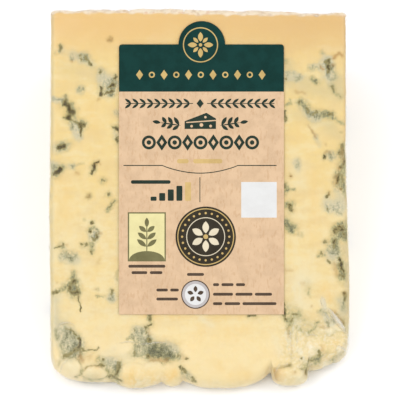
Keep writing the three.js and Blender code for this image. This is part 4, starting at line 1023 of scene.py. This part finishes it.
# a small panel with a sprig over a curved ground
PRINT += [("olive", bar(127.8, 212.2, 165.9, 261.4)), ("yellow", bar(129.2, 213.6, 164.5, 260.0))]
a = np.linspace(math.pi, 2 * math.pi, 20)
PRINT.append(("olive", np.stack([146.85 + 17.65 * np.cos(a), 260.0 + 9.0 * np.sin(a)], -1)))
PRINT.append(("olive", bar(146.35, 222.0, 147.35, 252.6)))
for k, (at, long) in enumerate(((247.0, 12.5), (239.6, 11.5), (232.2, 10.0))):
    for side in (-1, 1):
        angle = math.radians(-38) if side > 0 else math.pi - math.radians(-38)
        PRINT.append(("olive", petal(146.85, at, 0.6, long, 2.3, angle)))
PRINT.append(("olive", petal(146.85, 227.5, 0.0, 10.0, 2.2, -math.pi / 2)))
PRINT += [("umber", b) for b in bars(128.4, 165.4, 266.2, 2.9, (13,), 0)] + [("umber", b) for b in bars(131.6, 162.4, 272.6, 2.9, (5, 4), 2.6)]
# a plain dark disc with a dotted rim and six leaves
bx, by = 205.7, 236.7
PRINT += [("charcoal", disc(bx, by, 30.2, 72)), ("gold", disc(bx, by, 28.4, 72)), ("charcoal", disc(bx, by, 27.4, 72))]
for k in range(24):
    a = 2 * math.pi * k / 24
    PRINT.append(("gold", disc(bx + 23.6 * math.cos(a), by + 23.6 * math.sin(a), 1.15, 10)))
PRINT += [("cream", disc(bx, by, 19.4, 60)), ("charcoal", disc(bx, by, 18.6, 60))]
for k in range(6):
    PRINT.append(("cream", petal(bx, by, 3.4, 15.4, 3.3, math.pi / 3 * k + math.pi / 6)))
PRINT.append(("gold", disc(bx, by, 2.4, 18)))
PRINT += [("umber", b) for b in bars(187.0, 204.0, 274.4, 2.9, (6,), 0)]
# a plain roundel with a grey rim round a five-leaved flower
rx, ry = 195.5, 294.4
PRINT += [("umber", disc(rx, ry, 14.4, 56)), ("grey", disc(rx, ry, 13.3, 56)), ("white", disc(rx, ry, 10.6, 48))]
for k in range(5):
    PRINT.append(("umber", petal(rx, ry, 2.2, 8.6, 2.0, 2 * math.pi / 5 * k - math.pi / 2)))
PRINT += [("umber", b) for b in bars(156.4, 178.8, 290.0, 2.9, (4, 3), 2.4)] + [("umber", b) for b in bars(156.4, 178.0, 299.0, 2.9, (9,), 0)]
PRINT += [("umber", b) for b in bars(213.0, 245.0, 284.6, 2.9, (2, 4, 3), 2.4)] + [("umber", b) for b in bars(213.0, 272.0, 294.2, 2.9, (7, 6, 6), 2.4)]
PRINT += [("umber", b) for b in bars(213.0, 276.4, 303.6, 2.9, (3, 5, 11), 2.4)]

INKS = ["paper", "green", "gold", "ink", "straw", "white", "olive", "yellow", "charcoal", "cream", "grey", "umber"]


def label_mesh():
    verts, edges = [], []

    def add(poly):
        start = len(verts)
        verts.extend(Vector(p) for p in poly)
        edges.extend((start + i, start + (i + 1) % len(poly)) for i in range(len(poly)))

    add(LABEL_OUTLINE)
    for ink, poly in PRINT[1:]:
        add(poly)
    start = len(verts)
    verts.extend([Vector((119.0, 91.7)), Vector((283.9, 91.7))])
    edges.append((start, start + 1))
    gx, gy = np.meshgrid(np.arange(124, 283, 8.5), np.arange(26, 312, 8.5))
    pts = np.stack([gx.ravel(), gy.ravel()], -1) + 0.37
    pts = pts[inside(LABEL_OUTLINE, pts)]
    verts.extend(Vector(p) for p in pts)
    out, _, faces, *_ = delaunay_2d_cdt(verts, edges, [], 0, 1e-5)
    flat = np.array([(v.x, v.y) for v in out])
    tri = np.array([f for f in faces if len(f) == 3])
    centre = flat[tri].mean(1)
    keep = inside(LABEL_OUTLINE, centre)
    tri, centre = tri[keep], centre[keep]
    slot = np.zeros(len(tri), int)
    for ink, poly in PRINT:
        slot[inside(poly, centre)] = INKS.index(ink)
    used = np.unique(tri)
    index = np.full(len(flat), -1)
    index[used] = np.arange(len(used))
    tri, flat = index[tri], flat[used]
    area = np.cross(flat[tri[:, 1]] - flat[tri[:, 0]], flat[tri[:, 2]] - flat[tri[:, 0]])
    tri = np.where(area[:, None] > 0, tri[:, ::-1], tri)  # the face's second axis runs down, so this turns them up
    x, r = unit_x(flat[:, 0]), unit_r(flat[:, 1])
    wave = 0.05 * np.sin(0.31 * x + 0.17 * r) + 0.045 * np.sin(0.23 * r - 0.11 * x + 2)
    rise = 0.03 + wave
    top = np.stack([x, ALONG[1] * r + OUT[1] * (0.26 + rise), ALONG[2] * r + OUT[2] * (0.26 + rise)], -1)
    low = np.stack([x, ALONG[1] * r + OUT[1] * (0.12 + rise), ALONG[2] * r + OUT[2] * (0.12 + rise)], -1)
    n = len(x)
    count = {}
    for t in tri:
        for i in range(3):
            e = (t[i], t[(i + 1) % 3])
            count[e] = count.get(e, 0) + 1
    faces, slots = [list(map(int, t)) for t in tri], list(slot)
    faces += [[int(i) + n for i in t[::-1]] for t in tri]
    slots += [0] * len(tri)
    for a, b in count:
        if (b, a) not in count:
            faces.append([int(a), int(a) + n, int(b) + n, int(b)])
            slots.append(0)
    return np.concatenate([top, low]), faces, slots


label_points, label_faces, label_slots = label_mesh()
label_print = make_mesh("label_print", label_points + SHIFT, label_faces, smooth=False)


# ---- materials --------------------------------------------------------------------------------------------------
KEY = 1.31  # the studio light is bright: a colour below is how its surface looks under it


def linear(r, g, b):
    def one(c):
        c /= 255.0
        return (c / 12.92 if c <= 0.04045 else ((c + 0.055) / 1.055) ** 2.4) / KEY
    return (one(r), one(g), one(b), 1.0)


class Nodes:
    """Short calls for building a material's nodes."""

    def __init__(self, name):
        self.mat = bpy.data.materials.new(name)
        self.mat.use_nodes = True
        self.tree = self.mat.node_tree
        self.tree.nodes.clear()
        self.out = self.tree.nodes.new("ShaderNodeOutputMaterial")
        self.place = self.tree.nodes.new("ShaderNodeTexCoord").outputs["Object"]

    def node(self, kind, **values):
        n = self.tree.nodes.new(kind)
        for k, v in values.items():
            setattr(n, k, v)
        return n

    def link(self, a, b):
        self.tree.links.new(a, b)

    def noise(self, size_mm, detail=3.0, rough=0.55, stretch=None, distort=0.0):
        n = self.node("ShaderNodeTexNoise")
        n.inputs["Scale"].default_value = 1000.0 / size_mm
        n.inputs["Detail"].default_value = detail
        n.inputs["Roughness"].default_value = rough
        n.inputs["Distortion"].default_value = distort
        if stretch:
            m = self.node("ShaderNodeMapping")
            m.inputs["Scale"].default_value = stretch
            self.link(self.place, m.inputs["Vector"])
            self.link(m.outputs["Vector"], n.inputs["Vector"])
        else:
            self.link(self.place, n.inputs["Vector"])
        return n.outputs["Fac"]

    def attribute(self, name):
        n = self.node("ShaderNodeAttribute", attribute_name=name)
        return n.outputs["Fac"]

    def math(self, op, a, b=None, clamp=False):
        n = self.node("ShaderNodeMath", operation=op, use_clamp=clamp)
        for i, v in enumerate((a, b)):
            if v is None:
                continue
            if isinstance(v, (int, float)):
                n.inputs[i].default_value = v
            else:
                self.link(v, n.inputs[i])
        return n.outputs[0]

    def ramp(self, value, low, high, to_low=0.0, to_high=1.0):
        n = self.node("ShaderNodeMapRange", interpolation_type="SMOOTHSTEP")
        self.link(value, n.inputs["Value"])
        n.inputs["From Min"].default_value = low
        n.inputs["From Max"].default_value = high
        n.inputs["To Min"].default_value = to_low
        n.inputs["To Max"].default_value = to_high
        return n.outputs["Result"]

    def mix(self, factor, a, b, blend="MIX"):
        n = self.node("ShaderNodeMix", data_type="RGBA", blend_type=blend, clamp_factor=True)
        if isinstance(factor, (int, float)):
            n.inputs[0].default_value = factor
        else:
            self.link(factor, n.inputs[0])
        for socket, v in ((n.inputs[6], a), (n.inputs[7], b)):
            if isinstance(v, tuple):
                socket.default_value = v
            else:
                self.link(v, socket)
        return n.outputs[2]

    def bump(self, height, strength, distance_mm, normal=None):
        n = self.node("ShaderNodeBump")
        n.inputs["Strength"].default_value = strength
        n.inputs["Distance"].default_value = distance_mm / 1000.0
        self.link(height, n.inputs["Height"])
        if normal is not None:
            self.link(normal, n.inputs["Normal"])
        return n.outputs["Normal"]

    def principled(self, **values):
        n = self.node("ShaderNodeBsdfPrincipled")
        for k, v in values.items():
            socket = n.inputs[k.replace("_", " ")]
            if hasattr(v, "is_linked") or hasattr(v, "links"):
                self.link(v, socket)
            else:
                socket.default_value = v
        self.link(n.outputs[0], self.out.inputs["Surface"])
        return n


def hidden_mould(m):
    """Mould on the faces away from the label: winding veins, patches and specks."""
    warp = m.node("ShaderNodeTexNoise")
    warp.inputs["Scale"].default_value = 1000.0 / 8
    warp.inputs["Detail"].default_value = 3.0
    m.link(m.place, warp.inputs["Vector"])
    shift = m.node("ShaderNodeVectorMath", operation="MULTIPLY_ADD")
    m.link(warp.outputs["Color"], shift.inputs[0])
    shift.inputs[1].default_value = (0.008, 0.008, 0.008)
    m.link(m.place, shift.inputs[2])
    moved = shift.outputs[0]

    def noise(size_mm, detail, offset):
        n = m.node("ShaderNodeTexNoise")
        n.inputs["Scale"].default_value = 1000.0 / size_mm
        n.inputs["Detail"].default_value = detail
        n.inputs["Roughness"].default_value = 0.55
        at = m.node("ShaderNodeVectorMath", operation="ADD")
        m.link(moved, at.inputs[0])
        at.inputs[1].default_value = offset
        m.link(at.outputs[0], n.inputs["Vector"])
        return n.outputs["Fac"]

    course = m.math("ABSOLUTE", m.math("SUBTRACT", noise(17, 2, (0.3, 0.1, 0.2)), 0.5))
    mask = noise(14, 2, (0.9, 0.4, 0.6))
    patch = noise(7.5, 4, (0.1, 0.8, 0.5))
    spot = noise(2.6, 3, (0.6, 0.2, 0.9))
    width = m.ramp(noise(5, 3, (0.7, 0.5, 0.1)), 0.36, 0.66, 0.006, 0.05)
    across = m.math("DIVIDE", course, width)
    vein = m.math("MULTIPLY", m.ramp(across, 1.0, 0.25), m.ramp(mask, 0.44, 0.56))
    near = m.math("MULTIPLY", m.ramp(course, 0.1, 0.02), m.ramp(mask, 0.42, 0.56))
    blob = m.ramp(patch, 0.565, 0.68, 0.0, 0.85)
    specks = m.math("MULTIPLY", m.ramp(spot, 0.56, 0.68), m.math("ADD", m.math("MULTIPLY", near, 0.8), m.ramp(patch, 0.5, 0.6, 0.06, 0.8), clamp=True))
    total = m.math("MAXIMUM", m.math("MULTIPLY", vein, 0.8), blob)
    total = m.math("MAXIMUM", total, m.math("MULTIPLY", specks, 0.85))
    total = m.math("MAXIMUM", total, m.math("MULTIPLY", near, 0.24))
    heart = m.math("MULTIPLY", m.ramp(across, 0.6, 0.1), m.ramp(mask, 0.5, 0.6, 0.0, 0.85))
    heart = m.math("MAXIMUM", heart, m.ramp(patch, 0.64, 0.72, 0.0, 0.7))
    heart = m.math("MULTIPLY", heart, m.ramp(spot, 0.4, 0.52, 0.1, 1.0))
    return total, m.math("MULTIPLY", near, 0.6), heart


def cheese_material():
    m = Nodes("blue_veined_paste_and_rind")
    broad, middle, fine, grain = m.noise(12, 2), m.noise(2.8, 4, 0.58), m.noise(0.8, 3, 0.6), m.noise(0.5, 2)
    fibre = m.noise(1.1, 4, 0.68, stretch=(1.0, 0.5, 0.5))
    strand = m.noise(0.8, 3, 0.6, stretch=(1.0, 0.36, 0.36))
    streak = m.noise(1.3, 3, 0.6, stretch=(1.0, 0.2, 0.2))
    # nearer the rind the paste is drier and more tan, and at the thin end it is palest
    sep = m.node("ShaderNodeSeparateXYZ")
    m.link(m.place, sep.inputs[0])
    radius = m.math("SQRT", m.math("ADD",
                                   m.math("POWER", m.math("SUBTRACT", sep.outputs["Y"], float(SHIFT[1] / 1000)), 2.0),
                                   m.math("POWER", sep.outputs["Z"], 2.0)))
    colour = m.mix(m.ramp(m.math("ADD", radius, m.math("MULTIPLY", m.math("SUBTRACT", broad, 0.5), 0.05)), 0.048, 0.07), linear(249, 225, 165), linear(247, 218, 147))
    colour = m.mix(m.ramp(broad, 0.4, 0.66, 0.0, 0.5), colour, linear(247, 219, 150))
    colour = m.mix(m.ramp(streak, 0.48, 0.68, 0.0, 0.38), colour, linear(242, 212, 144))
    colour = m.mix(m.ramp(fine, 0.48, 0.72, 0.0, 0.4), colour, linear(241, 210, 146))
    colour = m.mix(m.math("MULTIPLY", m.ramp(middle, 0.38, 0.66, 0.0, 0.62), m.ramp(radius, 0.08, 0.03, 0.3, 1.0)), colour, linear(248, 231, 184))
    smear = m.noise(3.4, 4, 0.62, stretch=(0.4, 1.0, 1.0))
    colour = m.mix(m.ramp(smear, 0.48, 0.64, 0.0, 0.5), colour, linear(238, 209, 148))
    colour = m.mix(m.ramp(smear, 0.48, 0.36, 0.0, 0.5), colour, linear(250, 231, 178))
    band = m.ramp(m.math("ADD", radius, m.math("MULTIPLY", m.math("SUBTRACT", broad, 0.5), 0.006)), 0.090, 0.1035)
    dry = m.mix(m.ramp(sep.outputs["X"], -0.03, 0.036), linear(243, 201, 131), linear(234, 192, 126))
    colour = m.mix(m.math("MULTIPLY", band, 0.92), colour, dry)
    colour = m.mix(m.ramp(radius, 0.031, 0.017, 0.0, 0.66), colour, linear(255, 231, 175))
    colour = m.mix(m.math("MULTIPLY", m.attribute("warm"), m.ramp(fibre, 0.36, 0.62, 0.5, 0.95)), colour, linear(249, 212, 136))
    colour = m.mix(m.math("MULTIPLY", m.attribute("pale"), 0.75), colour, linear(245, 234, 198))
    colour = m.mix(m.math("MULTIPLY", m.attribute("dull"), 0.85), colour, linear(212, 198, 152))
    # painted shade: the rounded long edges, where the face turns away from the light, are painted darker and duller,
    # the right one more so
    upper = m.ramp(m.attribute("hidden"), 0.3, 0.0)
    upper = m.math("MULTIPLY", upper, m.ramp(middle, 0.3, 0.6, 0.35, 1.0))
    side = m.math("MULTIPLY", m.ramp(sep.outputs["X"], 0.0366, 0.0381, 0.0, 0.7), upper)
    colour = m.mix(side, colour, m.mix(m.ramp(radius, 0.048, 0.064), linear(206, 190, 148), linear(204, 170, 118)))
    # painted shade on the left rounded edge, lighter than on the right
    side = m.math("MULTIPLY", m.ramp(sep.outputs["X"], -0.0370, -0.0382, 0.0, 0.5), upper)
    colour = m.mix(side, colour, linear(210, 197, 157))
    # crumbs differ in tone, and the cracks and grooves between them are darkened olive, partly mould and whey stain and
    # partly painted shade
    tone, crumb = m.attribute("tone"), m.attribute("crumb")
    colour = m.mix(m.ramp(tone, 0.05, 0.4, 0.0, 0.6), colour, linear(249, 238, 206))
    colour = m.mix(m.ramp(tone, -0.08, -0.4, 0.0, 0.6), colour, linear(240, 215, 152))
    speck = m.math("MULTIPLY", crumb, m.ramp(fine, 0.5, 0.62))
    colour = m.mix(m.math("MULTIPLY", speck, 0.36), colour, linear(224, 211, 160))
    speck = m.math("MULTIPLY", crumb, m.ramp(fine, 0.47, 0.36))
    colour = m.mix(m.math("MULTIPLY", speck, 0.44), colour, linear(251, 244, 220))
    crack_stain_and_shade = m.math("MULTIPLY", m.attribute("crack_stain_and_shade"), m.ramp(middle, 0.36, 0.56, 0.2, 1.0))
    colour = m.mix(m.math("MULTIPLY", crack_stain_and_shade, 0.42), colour, linear(196, 184, 128))
    # mould, from its pale bloom to its darker fibres and pale curls, and then the dark hearts of the veins
    elsewhere, beside, within = hidden_mould(m)
    hidden = m.math("MULTIPLY", m.attribute("hidden"), m.ramp(radius, 0.101, 0.091))
    mould = m.math("MAXIMUM", m.attribute("mould"), m.math("MULTIPLY", elsewhere, hidden))
    blue = m.math("MAXIMUM", m.attribute("blue"), m.math("MULTIPLY", beside, hidden))
    heart = m.math("MAXIMUM", m.attribute("heart"), m.math("MULTIPLY", within, hidden))
    grit = m.math("ADD", m.math("MULTIPLY", m.ramp(fibre, 0.34, 0.66, -0.5, 0.5), 0.4), m.math("MULTIPLY", m.ramp(grain, 0.36, 0.64, -0.5, 0.5), 0.24))
    share = m.math("MULTIPLY", m.ramp(mould, 0.1, 0.46), m.ramp(mould, 0.6, 1.0, 1.0, 1.1))
    thick = m.math("ADD", mould, m.math("MULTIPLY", grit, share))
    bloom = m.mix(blue, m.mix(1.0, colour, (0.82, 0.83, 0.80, 1.0), "MULTIPLY"), linear(214, 208, 180))
    colour = m.mix(m.ramp(thick, 0.03, 0.22, 0.0, 0.88), colour, bloom)
    colour = m.mix(m.ramp(thick, 0.2, 0.5), colour, m.mix(blue, linear(192, 182, 130), linear(186, 182, 153)))
    colour = m.mix(m.ramp(thick, 0.46, 0.84), colour, linear(134, 132, 94))
    colour = m.mix(m.ramp(thick, 0.84, 1.2, 0.0, 0.8), colour, linear(92, 92, 66))
    worm = m.math("MULTIPLY", m.ramp(strand, 0.52, 0.62), m.math("MULTIPLY", m.ramp(mould, 0.22, 0.42), m.attribute("curl")))
    colour = m.mix(m.math("MULTIPLY", worm, 0.6), colour, linear(218, 212, 174))
    frayed = m.math("ADD", heart, m.math("MULTIPLY", grit, 0.36))
    colour = m.mix(m.math("MULTIPLY", m.ramp(frayed, 0.06, 0.38), m.ramp(heart, 0.03, 0.2)), colour, linear(158, 146, 92))
    colour = m.mix(m.math("MULTIPLY", m.ramp(frayed, 0.36, 0.78), m.ramp(heart, 0.15, 0.35)), colour, linear(98, 84, 34))
    colour = m.mix(m.ramp(frayed, 0.78, 1.1), colour, linear(60, 48, 12))
    stain = m.math("MULTIPLY", m.attribute("brown"), m.ramp(frayed, 0.3, 0.8, 0.72, 0.12))
    colour = m.mix(stain, colour, linear(184, 138, 66))
    # the rind: a tan and brown crust with a dusty white bloom, fine cracks and dark pits
    rind = m.attribute("rind")
    dust = m.math("ADD", m.noise(4.6, 7, 0.72), m.math("MULTIPLY", m.math("SUBTRACT", grain, 0.5), 0.4))
    crust = m.mix(m.ramp(m.noise(16.0, 6, 0.66), 0.38, 0.62), linear(206, 168, 124), linear(222, 188, 148))
    crust = m.mix(m.ramp(m.noise(3.0, 5, 0.7), 0.46, 0.7, 0.0, 0.7), crust, linear(184, 146, 104))
    crust = m.mix(m.ramp(m.noise(24.0, 4, 0.6), 0.5, 0.66, 0.0, 0.45), crust, linear(190, 172, 142))
    crust = m.mix(m.ramp(dust, 0.42, 0.62, 0.0, 0.78), crust, linear(238, 224, 202))
    crust = m.mix(m.ramp(m.noise(1.1, 4, 0.7), 0.52, 0.66, 0.0, 0.6), crust, linear(176, 138, 98))
    crust = m.mix(m.ramp(m.noise(1.9, 2, 0.5), 0.66, 0.74, 0.0, 0.7), crust, linear(140, 104, 70))
    crust = m.mix(m.math("MULTIPLY", m.attribute("pit"), 0.75), crust, linear(138, 104, 70))
    # where the rind shows from above its edge is pale and pinkish
    edge = m.ramp(sep.outputs["Z"], 0.0448, 0.0472)
    edge = m.math("MULTIPLY", edge, m.ramp(m.noise(1.6, 3, 0.6), 0.36, 0.56, 0.45, 0.95))
    crust = m.mix(edge, crust, linear(255, 238, 212))
    crust = m.mix(m.math("MULTIPLY", edge, m.ramp(m.noise(1.3, 3, 0.6), 0.56, 0.66, 0.0, 0.5)), crust, linear(226, 172, 138))
    colour = m.mix(rind, colour, crust)
    rough = m.math("ADD", m.ramp(fine, 0.3, 0.7, 0.46, 0.6), m.math("MULTIPLY", rind, 0.25), clamp=True)
    height = m.math("ADD", m.math("MULTIPLY", fine, 0.7), m.math("MULTIPLY", grain, 0.3))
    height = m.math("ADD", height, m.math("MULTIPLY", m.math("MULTIPLY", m.noise(2.4, 6, 0.7), rind), 3.2))
    normal = m.bump(height, 0.45, 0.16)
    m.principled(Base_Color=colour, Roughness=rough, Normal=normal, Subsurface_Weight=0.08, Subsurface_Radius=(1.0, 0.7, 0.35), Subsurface_Scale=0.0008, Specular_IOR_Level=0.35)
    return m.mat


def film_material():
    m = Nodes("clear_film")
    crinkle = m.noise(3.2, 3, 0.6, distort=0.4)
    fine = m.noise(0.9, 2, 0.5)
    normal = m.bump(m.math("ADD", crinkle, m.math("MULTIPLY", fine, 0.25)), 0.22, 0.25)
    clear = m.node("ShaderNodeBsdfTransparent")
    clear.inputs["Color"].default_value = (0.99, 0.99, 0.985, 1)
    gloss = m.node("ShaderNodeBsdfGlossy")
    gloss.inputs["Color"].default_value = (1, 1, 1, 1)
    gloss.inputs["Roughness"].default_value = 0.2
    m.link(normal, gloss.inputs["Normal"])
    # a thin film mirrors alike from both its sides, more where it is seen aslant
    edge = m.node("ShaderNodeLayerWeight")
    edge.inputs["Blend"].default_value = 0.5
    m.link(normal, edge.inputs["Normal"])
    share = m.math("MULTIPLY", m.math("POWER", edge.outputs["Facing"], 4.0), 0.55)
    share = m.math("ADD", share, m.ramp(crinkle, 0.3, 0.7, 0.008, 0.022), clamp=True)
    mix = m.node("ShaderNodeMixShader")
    m.link(share, mix.inputs[0])
    m.link(clear.outputs[0], mix.inputs[1])
    m.link(gloss.outputs[0], mix.inputs[2])
    # where the film is doubled in a pleat it is a little milky, and this diffuse white also stands as the pleat's
    # painted highlight
    milk_and_glint = m.node("ShaderNodeBsdfDiffuse")
    milk_and_glint.inputs["Color"].default_value = (0.8, 0.8, 0.79, 1)
    whole = m.node("ShaderNodeMixShader")
    m.link(m.math("MULTIPLY", m.attribute("pleat"), 0.6, clamp=True), whole.inputs[0])
    m.link(mix.outputs[0], whole.inputs[1])
    m.link(milk_and_glint.outputs[0], whole.inputs[2])
    m.link(whole.outputs[0], m.out.inputs["Surface"])
    return m.mat


def ink_material(name, rgb, rough, spread_by=0.06, fleck=None):
    m = Nodes("label_" + name)
    r, g, b = rgb

    def under_sheen(*c):  # the sheen of the print adds a little light to every ink
        return tuple(max(0.0, v - 0.01) for v in linear(*c)[:3]) + (1.0,)

    dark = under_sheen(r * (1 - spread_by), g * (1 - spread_by * 1.15), b * (1 - spread_by * 1.3))
    light = under_sheen(min(255, r * (1 + spread_by * 0.5)), min(255, g * (1 + spread_by * 0.5)), min(255, b * (1 + spread_by * 0.5)))
    cloud, pulp = m.noise(3.4, 3), m.noise(0.45, 3, 0.6)
    colour = m.mix(m.ramp(cloud, 0.36, 0.64), dark, light)
    colour = m.mix(m.ramp(pulp, 0.38, 0.62, 0.0, 0.5), colour, under_sheen(*rgb))
    if fleck:
        colour = m.mix(m.ramp(m.noise(0.6, 2, 0.5, stretch=(1.0, 0.35, 0.35)), 0.54, 0.68, 0.0, 0.4), colour, under_sheen(*fleck))
    m.principled(Base_Color=colour, Roughness=m.ramp(pulp, 0.3, 0.7, rough - 0.05, rough + 0.06), Normal=m.bump(pulp, 0.12, 0.05), Specular_IOR_Level=0.12)
    return m.mat


cheese.data.materials.append(cheese_material())
film.data.materials.append(film_material())
PALETTE = {
    "paper": ((233, 200, 164), 0.72, 0.04, (210, 170, 130)),
    "green": ((32, 66, 62), 0.5, 0.08, None),
    "gold": ((216, 186, 122), 0.42, 0.06, None),
    "ink": ((52, 66, 58), 0.6, 0.08, None),
    "straw": ((222, 190, 128), 0.6, 0.05, None),
    "white": ((239, 239, 238), 0.55, 0.015, None),
    "olive": ((128, 124, 88), 0.62, 0.06, None),
    "yellow": ((243, 233, 174), 0.62, 0.03, None),
    "charcoal": ((66, 61, 52), 0.5, 0.08, None),
    "cream": ((240, 228, 200), 0.6, 0.03, None),
    "grey": ((203, 197, 196), 0.55, 0.03, None),
    "umber": ((94, 80, 68), 0.6, 0.08, None),
}
for ink in INKS:
    rgb, rough, spread_by, fleck = PALETTE[ink]
    label_print.data.materials.append(ink_material(ink, rgb, rough, spread_by, fleck))
label_print.data.polygons.foreach_set("material_index", np.array(label_slots, dtype=np.int32))
label_print.data.update()

for piece, node, slot in ((cheese, "film_pack", "cheese_in_film"), (film, "film_pack", "cheese_in_film"), (label_print, "label", "label_paper")):
    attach(piece, "root")
    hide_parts(node)

# ---- the floor, the light and the camera ------------------------------------------------------------------------
floor = make_mesh("floor", np.array([(-900, -900, 0), (900, -900, 0), (900, 900, 0), (-900, 900, 0)], float), [[0, 1, 2, 3]], smooth=False)
fm = Nodes("pale_floor")
fm.principled(Base_Color=fm.mix(fm.ramp(fm.noise(60, 2), 0.3, 0.7), (0.945, 0.96, 1.0, 1), (0.955, 0.968, 1.0, 1)), Roughness=0.8, Specular_IOR_Level=0.2)
floor.data.materials.append(fm.mat)
floor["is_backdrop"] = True

world = bpy.data.worlds.new("studio")
bpy.context.scene.world = world
world.use_nodes = True
world.node_tree.nodes["Background"].inputs["Color"].default_value = (1.0, 1.0, 1.0, 1)
world.node_tree.nodes["Background"].inputs["Strength"].default_value = 0.98


def area(name, place, target, size, power):
    light = bpy.data.lights.new(name, "AREA")
    light.shape = "RECTANGLE"
    light.size, light.size_y = size
    light.energy = power
    obj = bpy.data.objects.new(name, light)
    bpy.context.scene.collection.objects.link(obj)
    obj.location = place
    obj.rotation_euler = (Vector(target) - Vector(place)).to_track_quat("-Z", "Y").to_euler()


area("soft_left", (-0.55, -0.25, 0.95), (0, 0, 0.02), (0.66, 0.66), 3.35)
area("soft_right", (0.75, 0.1, 0.85), (0, 0, 0.02), (0.66, 0.66), 3.05)

middle_x, middle_r = float(unit_x(200.0)), float(unit_r(200.0))
aim = (np.array([middle_x, 0, 0]) + ALONG * middle_r + SHIFT) / 1000
DISTANCE = 0.75
camera_data = bpy.data.cameras.new("camera")
camera = bpy.data.objects.new("camera", camera_data)
bpy.context.scene.collection.objects.link(camera)
camera.location = Vector(aim + OUT * DISTANCE)
right = Vector((1, 0, 0))
camera.matrix_world = Matrix((
    (right.x, ALONG[0], OUT[0], camera.location.x),
    (right.y, ALONG[1], OUT[1], camera.location.y),
    (right.z, ALONG[2], OUT[2], camera.location.z),
    (0, 0, 0, 1),
))
camera_data.sensor_width = 36.0
camera_data.sensor_fit = "HORIZONTAL"
camera_data.lens = 36.0 * DISTANCE / (400 * UNIT / 1000)
camera_data.clip_start, camera_data.clip_end = 0.05, 20
bpy.context.scene.camera = camera
bpy.context.scene.view_settings.view_transform = "Standard"
bpy.context.scene.view_settings.look = "None"

low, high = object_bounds()
